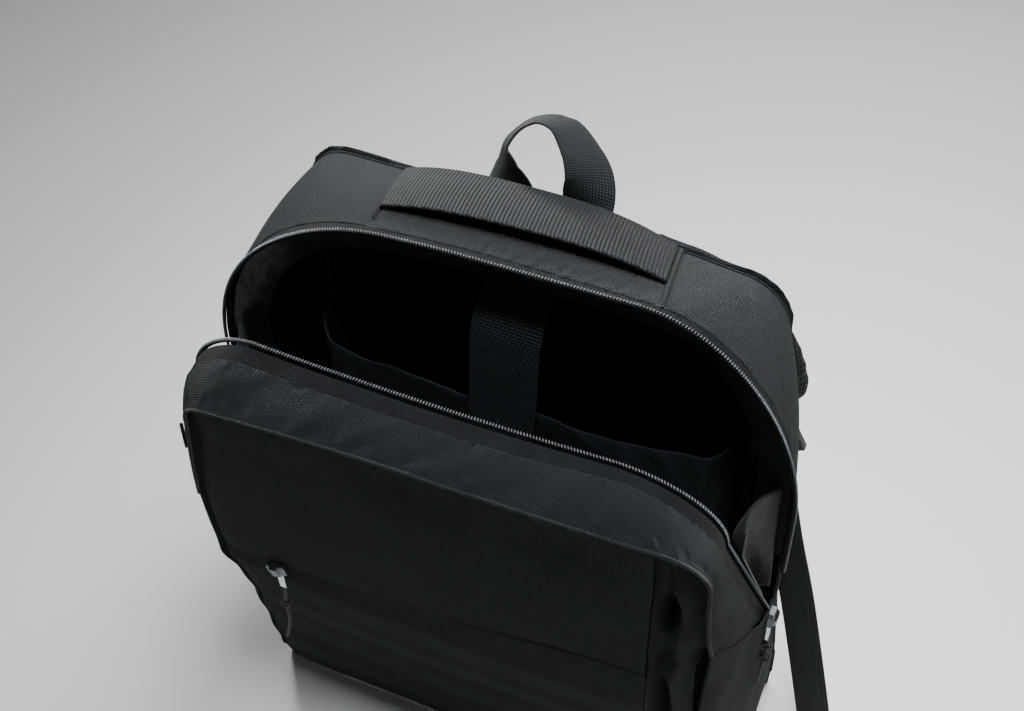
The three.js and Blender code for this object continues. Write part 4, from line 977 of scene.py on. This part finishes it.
def top_of_gusset(x, w):
    """Height of the top of the rear gusset at x, at a share w of its width."""
    x = np.asarray(x, float)
    k = np.where(x < 0, 0, 1)
    flat = [(np.array(arch["half"])[k] - np.array(arch["radius"])[k]) * HALF
            for arch in (BACK_ARCH, REAR_ZIP)]
    return rear_shell(TOP_SPAN * x / mix(*flat, w), w)[..., 2]


HANDLE_ENDS, HANDLE_WIDTH, HANDLE_BACK, HANDLE_SKEW, HANDLE_RISE = (-70, 69), (42, 37), 1, 10, 9


def handle_at(u, v):
    width = mix(*HANDLE_WIDTH, u)
    w = (HANDLE_BACK + width * (1 - v)) / GUSSET_WIDTH
    x = mix(*HANDLE_ENDS, u) + HANDLE_SKEW * w
    arched = HANDLE_RISE * mix(0.65, 1, v) * (1 - np.abs(2 * u - 1) ** 3.2)
    return vec(x, mix(BACK_DEPTH, MOUTH_Y, w), top_of_gusset(x, w) + GAP + SEAM + WEBBING + arched)


HANDLE_WEB = ribbed_webbing("ribbed_handle_webbing", "#020203", "#1c1e20", rib=1.9, cross=1.9,
                             depth=0.0009)
sewn(wall("carry_handle_webbing", handle_at, 150, 24, WEBBING, HANDLE_WEB, roll=1.5, size=(140, 40)),
     "carry_handle")

# Cross seams: the gusset is joined in three lengths, and each end of the handle is caught in a seam that
# runs from the back panel to the zip.
for word, foot in (("left", -71.0), ("right", 70.0)):
    w = np.linspace(0.0, 1.0, 40)
    x = foot + HANDLE_SKEW * w
    ridge = vec(x, mix(BACK_DEPTH, MOUTH_Y, w), top_of_gusset(x, w) + 0.5)
    sewn(seam_line(f"cross_seam_{word}", ridge, 1.3, CHARCOAL), slot="rear_gusset")

# Hang loop: 25 mm webbing sewn flat behind the back panel's top seam, standing up and leaning back.


def spline(points, t):
    """A uniform Catmull-Rom curve through points, at shares t of its length in steps."""
    p = np.asarray(points, float)
    p = np.vstack([2 * p[0] - p[1], p, 2 * p[-1] - p[-2]])
    at = np.clip(np.asarray(t, float), 0, 1) * (len(p) - 3)
    k = np.minimum(at.astype(int), len(p) - 4)
    f = (at - k)[..., None]
    a, b, c, d = p[k], p[k + 1], p[k + 2], p[k + 3]
    return 0.5 * (2 * b + (c - a) * f + (2 * a - 5 * b + 4 * c - d) * f ** 2
                  + (3 * b - a - 3 * c + d) * f ** 3)


def webbing_band(name, curve, across, width, thickness, steps, material):
    """Flat webbing along curve(t), its width along across(t), with rounded selvedges."""
    t = np.linspace(0, 1, steps + 1)
    p = curve(t)
    along = unit(curve(np.minimum(1, t + 1e-3)) - curve(np.maximum(0, t - 1e-3)))
    side = across(t)
    side = unit(side - along * np.sum(side * along, -1, keepdims=True))
    face_dir = unit(np.cross(along, side))
    run = np.concatenate([[0], np.cumsum(np.linalg.norm(np.diff(p, axis=0), axis=1))])
    ring = []
    uv = []
    shares = np.concatenate([np.linspace(-1, 1, 13), np.linspace(1, -1, 13)])
    for k, a in enumerate(shares):
        thin = 0.5 if abs(a) > 0.99 else (0.9 if abs(a) > 0.8 else 1)
        b = -1 if k < 13 else 1
        ring.append(p + side * (a * width / 2) + face_dir * (b * thin * thickness / 2))
        uv.append(np.stack([np.full_like(t, a * width / 2), run], -1))
    rings = np.stack(ring, 1)
    return loft(name, rings, material, np.stack(uv, 1).reshape(-1, 2), sharp=60)


LOOP_ROUTE = np.array([
    (-1.08, -0.35, 0, 0, 0), (-1.08, -0.15, 0, 0, 0), (-1.1, 0.08, 0, -3, 0), (-1.24, 0.36, 0.24, -45, 36),
    (-1.34, 0.57, 0.47, -66, 30), (-1.16, 0.75, 0.7, -77, 25), (-0.9, 0.89, 0.87, -84, 25),
    (-0.53, 0.98, 0.98, -92, 27), (-0.15, 1, 0.94, -96, 27), (0.18, 0.92, 0.84, -102, 22),
    (0.57, 0.73, 0.57, -114, 20), (0.84, 0.52, 0.3, -130, 12), (0.94, 0.29, 0.08, -158, 4),
    (0.95, 0.1, 0, -178, 0), (0.95, -0.15, 0, -180, 0), (0.95, -0.35, 0, -180, 0)])
LOOP_WEBBING, LOOP_STAND, LOOP_SEWN_BELOW = 25, 0.2, 4
LOOP_SIZE = (20, 18, 34)
LOOP_SEAT = np.array((
    1, BACK_DEPTH + BACK_PAD + SEAM + LOOP_STAND + WEBBING / 2,
    BACK_ARCH["middle"] * HEIGHT - LOOP_SEWN_BELOW))


def loop_curve(t):
    return LOOP_SEAT + spline(LOOP_ROUTE[:, [0, 2, 1]] * LOOP_SIZE, t)


def loop_across(t):
    at = np.clip(t, 0, 1) * (len(LOOP_ROUTE) - 1)
    turn, tilt = (np.radians(np.interp(at, range(len(LOOP_ROUTE)), LOOP_ROUTE[:, k])) for k in (3, 4))
    return vec(np.cos(turn), np.sin(turn) * np.cos(tilt), -np.sin(turn) * np.sin(tilt))


WEB = ribbed_webbing("ribbed_polyester_webbing", "#060607", "#232527", rib=1.5, cross=1.2)
sewn(webbing_band("hang_loop_webbing", loop_curve, loop_across, LOOP_WEBBING, WEBBING, 140, WEB),
     "hang_loop")

# Shoulder straps: foam in ribbed cloth with a bound edge, sewn to the back panel below the hang loop.
# At the lower end each carries a moulded ladder lock, with its webbing below and a free tail.
STRAP_ROUTE = np.array([(0.4, 0.85, 0), (0.52, 0.83, 5), (0.72, 0.8, 11), (0.88, 0.75, 14), (0.97, 0.695, 15),
                        (1, 0.64, 14), (1.07, 0.6, 13)])
STRAP_OUT, STRAP_WIDTH = 106.0, 60.0
STRAP_Y = BACK_DEPTH + BACK_PAD + GAP + STRAP_PAD / 2
STRAP_CLOTH = ribbed_webbing("ribbed_strap_cloth", "#030304", "#1a1c1e", rib=2.4, cross=1.4, along=False)
LOCK = (30.0, 26.0, 5.0, 4.5)


def moulded_acetal():
    """Moulded acetal: nearly black, satin, with the fine grain of the mould."""
    material, tree, shader = new_material(
        "moulded_acetal", Roughness=0.42, Base_Color=linear("#131415"), Specular_IOR_Level=0.5)
    place = node(tree, "ShaderNodeTexCoord").outputs["Object"]
    grain = node(tree, "ShaderNodeTexNoise", {"Vector": place, "Scale": 900.0, "Detail": 2.0}).outputs["Fac"]
    bump = node(tree, "ShaderNodeBump", {"Height": grain, "Distance": 0.0001, "Strength": 0.3})
    tree.links.new(bump.outputs[0], shader.inputs["Normal"])
    tree.links.new(ramp(tree, grain, "#0f1011", "#191a1b"), shader.inputs["Base Color"])
    return material


ACETAL = moulded_acetal()
TAIL_ROUTE = np.array([(0, 0, 1), (1.5, 0.2, 0.94), (4.5, 0.6, 0.87), (10, 2, 0.79), (18.7, 6.3, 0.64),
                       (31.5, 13, 0.45), (45.5, 23, 0.227), (59, 35, 0.022)])
LOWER_ROUTE = np.array([
    (0, 1, 0.98), (2, 0.92, 0.8), (8, 0.6, 0.5), (14, 0.2, 0.24), (17, 0, 0.14), (19, 0, 0.04)])
TAIL_WEBBING = 20


def strap_points(side, t):
    route = STRAP_ROUTE * (side * STRAP_OUT, HEIGHT, 1)
    p = spline(route[:, [0, 2, 1]], t)
    return p + np.array((0, STRAP_Y, 0))


def strap_rings(side, shrink, steps, sides=16):
    t = np.linspace(0, 1, steps + 1)
    p = strap_points(side, t)
    along = unit(strap_points(side, np.minimum(1, t + 1e-3)) - strap_points(side, np.maximum(0, t - 1e-3)))
    across = unit(np.cross(along, (0, 1, 0)))
    deep = unit(np.cross(along, across))
    e = np.clip((t - 0.72) / 0.28, 0, 1)
    half = STRAP_WIDTH / 2 * (1 - 0.42 * e * e * (3 - 2 * e)) - shrink
    ring = []
    for k in range(sides):
        angle = -2 * math.pi * (k + 0.5) / sides
        c, d = math.cos(angle), math.sin(angle)
        a = np.sign(c) * abs(c) ** 0.45 * half
        b = np.sign(d) * abs(d) ** 0.75 * (STRAP_PAD / 2 - shrink)
        ring.append(p + across * a[:, None] + deep * b)
    return np.stack(ring, 1)


def ladder_lock_mesh(name, middle, lean):
    """A moulded frame of three rounded bars across two slots."""
    wide, tall, thick, bar = LOCK
    made = bmesh.new()
    slot = (tall - 3 * bar) / 2
    xs = [-wide / 2, -wide / 2 + bar, wide / 2 - bar, wide / 2]
    zs = [-tall / 2, -tall / 2 + bar, -tall / 2 + bar + slot, tall / 2 - bar - slot, tall / 2 - bar, tall / 2]
    grid = {}
    for layer, y in enumerate((-thick / 2, thick / 2)):
        for i, x in enumerate(xs):
            for k, z in enumerate(zs):
                grid[layer, i, k] = made.verts.new((x, y, z))
    holes = {(1, 1), (1, 3)}
    cells = [(i, k) for i in range(3) for k in range(5) if (i, k) not in holes]
    for i, k in cells:
        made.faces.new([grid[0, i, k], grid[0, i + 1, k], grid[0, i + 1, k + 1], grid[0, i, k + 1]])
        made.faces.new([grid[1, i, k + 1], grid[1, i + 1, k + 1], grid[1, i + 1, k], grid[1, i, k]])
        for (ni, nk), (a, b) in (
                ((i - 1, k), ((i, k), (i, k + 1))), ((i + 1, k), ((i + 1, k + 1), (i + 1, k))),
                ((i, k - 1), ((i + 1, k), (i, k))), ((i, k + 1), ((i, k + 1), (i + 1, k + 1)))):
            if (ni, nk) not in cells:
                made.faces.new([grid[(0, *a)], grid[(0, *b)], grid[(1, *b)], grid[(1, *a)]])
    bmesh.ops.recalc_face_normals(made, faces=made.faces)
    corners = [e for e in made.edges if len(e.link_faces) == 2 and e.calc_face_angle() > 0.5]
    bmesh.ops.bevel(made, geom=corners, offset=0.9, segments=3, affect="EDGES", profile=0.6)
    turn = Matrix.Rotation(lean, 4, "Y")
    made.transform(Matrix.Scale(MM, 4) @ Matrix.Translation(middle) @ turn)
    mesh = bpy.data.meshes.new(name)
    made.to_mesh(mesh)
    made.free()
    mesh.polygons.foreach_set("use_smooth", [True] * len(mesh.polygons))
    mesh.set_sharp_from_angle(angle=math.radians(50))
    return link(name, mesh, ACETAL)


for word, sign in (("right", 1), ("left", -1)):
    rings = strap_rings(sign, 0.6, 60)
    strap = loft(f"shoulder_strap_{word}_padded", rings, STRAP_CLOTH)
    pressed(strap, 0.003, 4.0, 3.0)
    co = fitted(strap, f"shoulder_strap_{word}")
    fine_t = np.linspace(0, 1, 600)
    line = strap_points(sign, fine_t)
    nearest = np.argmin(((co[:, None, :] - line[None, :, :]) ** 2).sum(-1), axis=1)
    run = np.concatenate([[0], np.cumsum(np.linalg.norm(np.diff(line, axis=0), axis=1))])
    line_along = unit(np.gradient(line, axis=0))
    line_across = unit(np.cross(line_along, (0, 1, 0)))
    off = np.sum((co - line[nearest]) * line_across[nearest], -1)
    set_uv(strap.data, np.stack([off, run[nearest]], -1))
    sewn(strap, f"shoulder_strap_{word}")

    end = strap_points(sign, np.array(1.0))
    heading = unit(end - strap_points(sign, np.array(1 - 1e-3)))
    lean = math.atan2(heading[0], -heading[2])
    middle = end + heading * (LOCK[1] / 2 + GAP)
    sewn(ladder_lock_mesh(f"ladder_lock_{word}_moulded", middle, -lean), f"ladder_lock_{word}")
    layer = LOCK[2] / 2 + SEAM + WEBBING / 2

    def tail_curve(t, middle=middle, sign=sign):
        route = np.stack([middle[0] + sign * TAIL_ROUTE[:, 0], middle[1] - layer - TAIL_ROUTE[:, 1],
                          middle[2] * TAIL_ROUTE[:, 2]], -1)
        return spline(route, t)

    def tail_across(t, sign=sign):
        return vec(np.ones_like(t), 0.08 * sign * t * t, 0)

    sewn(webbing_band(f"strap_tail_{word}_webbing", tail_curve, tail_across, TAIL_WEBBING, WEBBING, 90, WEB),
         f"strap_tail_{word}")

    def lower_curve(t, middle=middle, sign=sign):
        seat = BACK_DEPTH + BACK_PAD + GAP + WEBBING / 2
        route = np.stack([
            middle[0] - sign * LOWER_ROUTE[:, 0], mix(seat, middle[1] + layer, LOWER_ROUTE[:, 1]),
            middle[2] * LOWER_ROUTE[:, 2]], -1)
        return spline(route, t)

    sewn(webbing_band(f"strap_webbing_{word}_webbing", lower_curve, lambda t: vec(np.ones_like(t), 0, 0),
                      TAIL_WEBBING, WEBBING, 80, WEB), f"strap_webbing_{word}")

# Laptop sleeve: a pouch of smooth lining against the back panel, its loose front edge dipping between
# its ears.


def lining_cloth(name, low, high, rough=0.42):
    """Coated taffeta lining: smooth, nearly black, with a soft painted highlight along the crests of its
    folds and painted shade in their hollows.
    """
    material, tree, shader = new_material(name, Roughness=rough, Sheen_Weight=0.03, Specular_IOR_Level=0.22)
    place = node(tree, "ShaderNodeTexCoord").outputs["Object"]
    folds = node(tree, "ShaderNodeTexNoise", {
        "Vector": place, "Scale": 22.0, "Detail": 4.0, "Distortion": 0.6}).outputs["Fac"]
    # Painted highlight and painted shade: the base colour runs from low in the fold hollows to high on the
    # fold crests, from the same noise as the fold bump.
    tree.links.new(ramp(tree, folds, low, high, 0.3, 0.8), shader.inputs["Base Color"])
    thread = node(tree, "ShaderNodeTexNoise", {"Vector": place, "Scale": 1400.0}).outputs["Fac"]
    fine = node(tree, "ShaderNodeBump", {"Height": thread, "Distance": 0.0001, "Strength": 0.3})
    bump = node(tree, "ShaderNodeBump", {
        "Height": folds, "Distance": 0.008, "Strength": 0.5, "Normal": fine.outputs[0]})
    tree.links.new(bump.outputs[0], shader.inputs["Normal"])
    return material


# In each lining the lighter colour is painted highlight on the fold crests and the darker one painted shade
# in the fold hollows.
BLACK_LINING = lining_cloth("coated_taffeta_lining", "#161719", "#3c3e41")
GREY_LINING = lining_cloth("grey_taffeta_lining", "#0d0e0f", "#26272a", rough=0.5)
SLEEVE = dict(left=110.0, right=116.0, depth=51.0, height=263.0, ears=14.0)


def sleeve_at(u, v):
    side, turn = 0.16, 14.0
    front, rear = MOUTH_Y + 0.1 * SLEEVE["depth"], BACK_DEPTH - GAP
    at_left, at_right = u < side, u > 1 - side
    t_side = np.where(at_left, side - u, u - 1 + side) / side
    t = np.clip((u - side) / (1 - 2 * side), 0, 1)
    edge = np.minimum(t, 1 - t) * (SLEEVE["left"] + SLEEVE["right"])
    bend = np.maximum(0, 1 - edge / turn)
    ends = at_left | at_right
    at_end = np.where(at_left, -SLEEVE["left"], SLEEVE["right"]) * (1 + 0.02 * np.maximum(0, t_side))
    x = np.where(ends, at_end, mix(-SLEEVE["left"], SLEEVE["right"], t))
    y = np.where(ends, mix(front + turn, rear, np.clip(t_side, 0, 1)), front + turn * bend ** 2.2)
    ear = np.abs(x - 3) / SLEEVE["right"]
    top = SLEEVE["height"] + SLEEVE["ears"] * ear ** 4 + 2 * np.sin(x / 11)
    fold = np.where(ends, 0, 1.2 * ripple(0.09 * x + 2.2 * v, 0.8) * v * (1 - bend) * (np.abs(x) > 30))
    return vec(x, y + fold, mix(FACE_FOOT, top, v))


sewn(wall("laptop_sleeve_lining", sleeve_at, 170, 50, LINING, BLACK_LINING, roll=1.2, size=(300, 260)),
     "laptop_sleeve")

# Retention strap: 36 mm webbing from the back panel over the sleeve's mouth and down its front.
RETENTION_WEBBING = 36
RETENTION_ROUTE = np.array([
    (2, BACK_DEPTH - SEAM - WEBBING / 2, 0.88), (2, BACK_DEPTH - SEAM - WEBBING / 2, 0.915),
    (2, BACK_DEPTH - 7, 0.927), (3, BACK_DEPTH - 20, 0.912), (3, MOUTH_Y + 18, 0.888),
    (3, MOUTH_Y + 6, 0.862),
    (2, MOUTH_Y + 3.2, 0.82), (0, MOUTH_Y + 3, 0.74), (-3, MOUTH_Y + 3, 0.66), (-4, MOUTH_Y + 3.1, 0.57)])
WIDE_WEB = ribbed_webbing("wide_retention_webbing", "#0c0d0e", "#4a4c4f", rib=1.6, cross=2.2, along=False)
sewn(webbing_band("retention_strap_webbing", lambda t: spline(RETENTION_ROUTE * (1, 1, HEIGHT), t),
                  lambda t: vec(np.ones_like(t), 0, 0), RETENTION_WEBBING, WEBBING, 130, WIDE_WEB),
     "retention_strap")

# Lining strip and side folds: grey lining turned in behind the rear zip, and a web of lining inside
# each foot of the zip that keeps the mouth from opening further.
STRIP_WIDTH = 17


def lining_strip_at(u, v):
    s = mix(-REAR_SPAN, REAR_SPAN, u)
    p = arch_points(REAR_ZIP, s)
    ahead, behind = arch_points(REAR_ZIP, s - 0.01), arch_points(REAR_ZIP, s + 0.01)
    inward = unit(vec(behind[..., 2] - ahead[..., 2], 0, ahead[..., 0] - behind[..., 0]))
    start = 0.3
    crease = 0.7 * ripple(60 * s, 1.9) * v
    turned_in = inward * mix(start, CLOTH + SEAM + STRIP_WIDTH, v)[..., None]
    return p + turned_in + vec(0, mix(1.5, 7, v) + crease, 0)


sewn(wall("lining_strip_cloth", lining_strip_at, 220, 10, LINING, GREY_LINING, roll=1.0, size=(800, 18)),
     "lining_strip")


def side_fold_at(side):
    def at(w, v):
        z = mix(ZIP_FOOT + 8, 0.74 * HEIGHT, v)
        rear = arch_side(REAR_ZIP, side, z)
        front = arch_side(FRONT_ZIP, side, np.minimum(z, 0.69 * HEIGHT))
        p = mix(rear, front, mix(0.2, 0.8, w)[..., None])
        bulge = 13 * np.sin(np.pi * w) * np.sin(np.pi * (0.15 + 0.7 * v))
        crease = 0.8 * ripple(6 * v + 4 * w, 1.2) * np.sin(np.pi * w)
        return vec(p[..., 0] - side * (1.5 * CLOTH + SEAM + bulge + crease),
                   mix(rear[..., 1], front[..., 1] + 3, w), z)
    return at


right_fold, left_fold = side_fold_at(1), side_fold_at(-1)
sewn(wall("side_fold_right_lining", right_fold, 30, 30, LINING, GREY_LINING, roll=1.0, size=(40, 80)),
     "side_fold_right")
sewn(wall("side_fold_left_lining", lambda u, v: left_fold(1 - u, v), 30, 30, LINING, BLACK_LINING, roll=1.0,
          size=(40, 80)), "side_fold_left")

# Metal zip parts: a dark plated slider on each zip, with a stamped pull tab.


def plated_metal(name, low, high, rough):
    """Die-cast zinc, plated: bright where it is rubbed, with fine scratches."""
    material, tree, shader = new_material(name, Roughness=rough, Metallic=1.0)
    place = node(tree, "ShaderNodeTexCoord").outputs["Object"]
    wear = node(tree, "ShaderNodeTexNoise", {"Vector": place, "Scale": 350.0, "Detail": 4.0}).outputs["Fac"]
    tree.links.new(ramp(tree, wear, low, high, 0.3, 0.7), shader.inputs["Base Color"])
    bump = node(tree, "ShaderNodeBump", {"Height": wear, "Distance": 0.0001, "Strength": 0.2})
    tree.links.new(bump.outputs[0], shader.inputs["Normal"])
    return material


DARK_METAL = plated_metal("dark_plated_zinc", "#4c4d50", "#7d7f83", 0.38)
BRIGHT_METAL = plated_metal("bright_plated_zinc", "#b9babd", "#e6e7e9", 0.24)
for node_name, metal in (("main_slider", DARK_METAL), ("pocket_slider", DARK_METAL),
                         ("main_pull_tab", BRIGHT_METAL), ("pocket_pull_tab", BRIGHT_METAL)):
    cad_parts[node_name].data.materials.clear()
    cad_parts[node_name].data.materials.append(metal)
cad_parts["side_tab_left"].data.materials.clear()
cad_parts["side_tab_left"].data.materials.append(CHARCOAL)
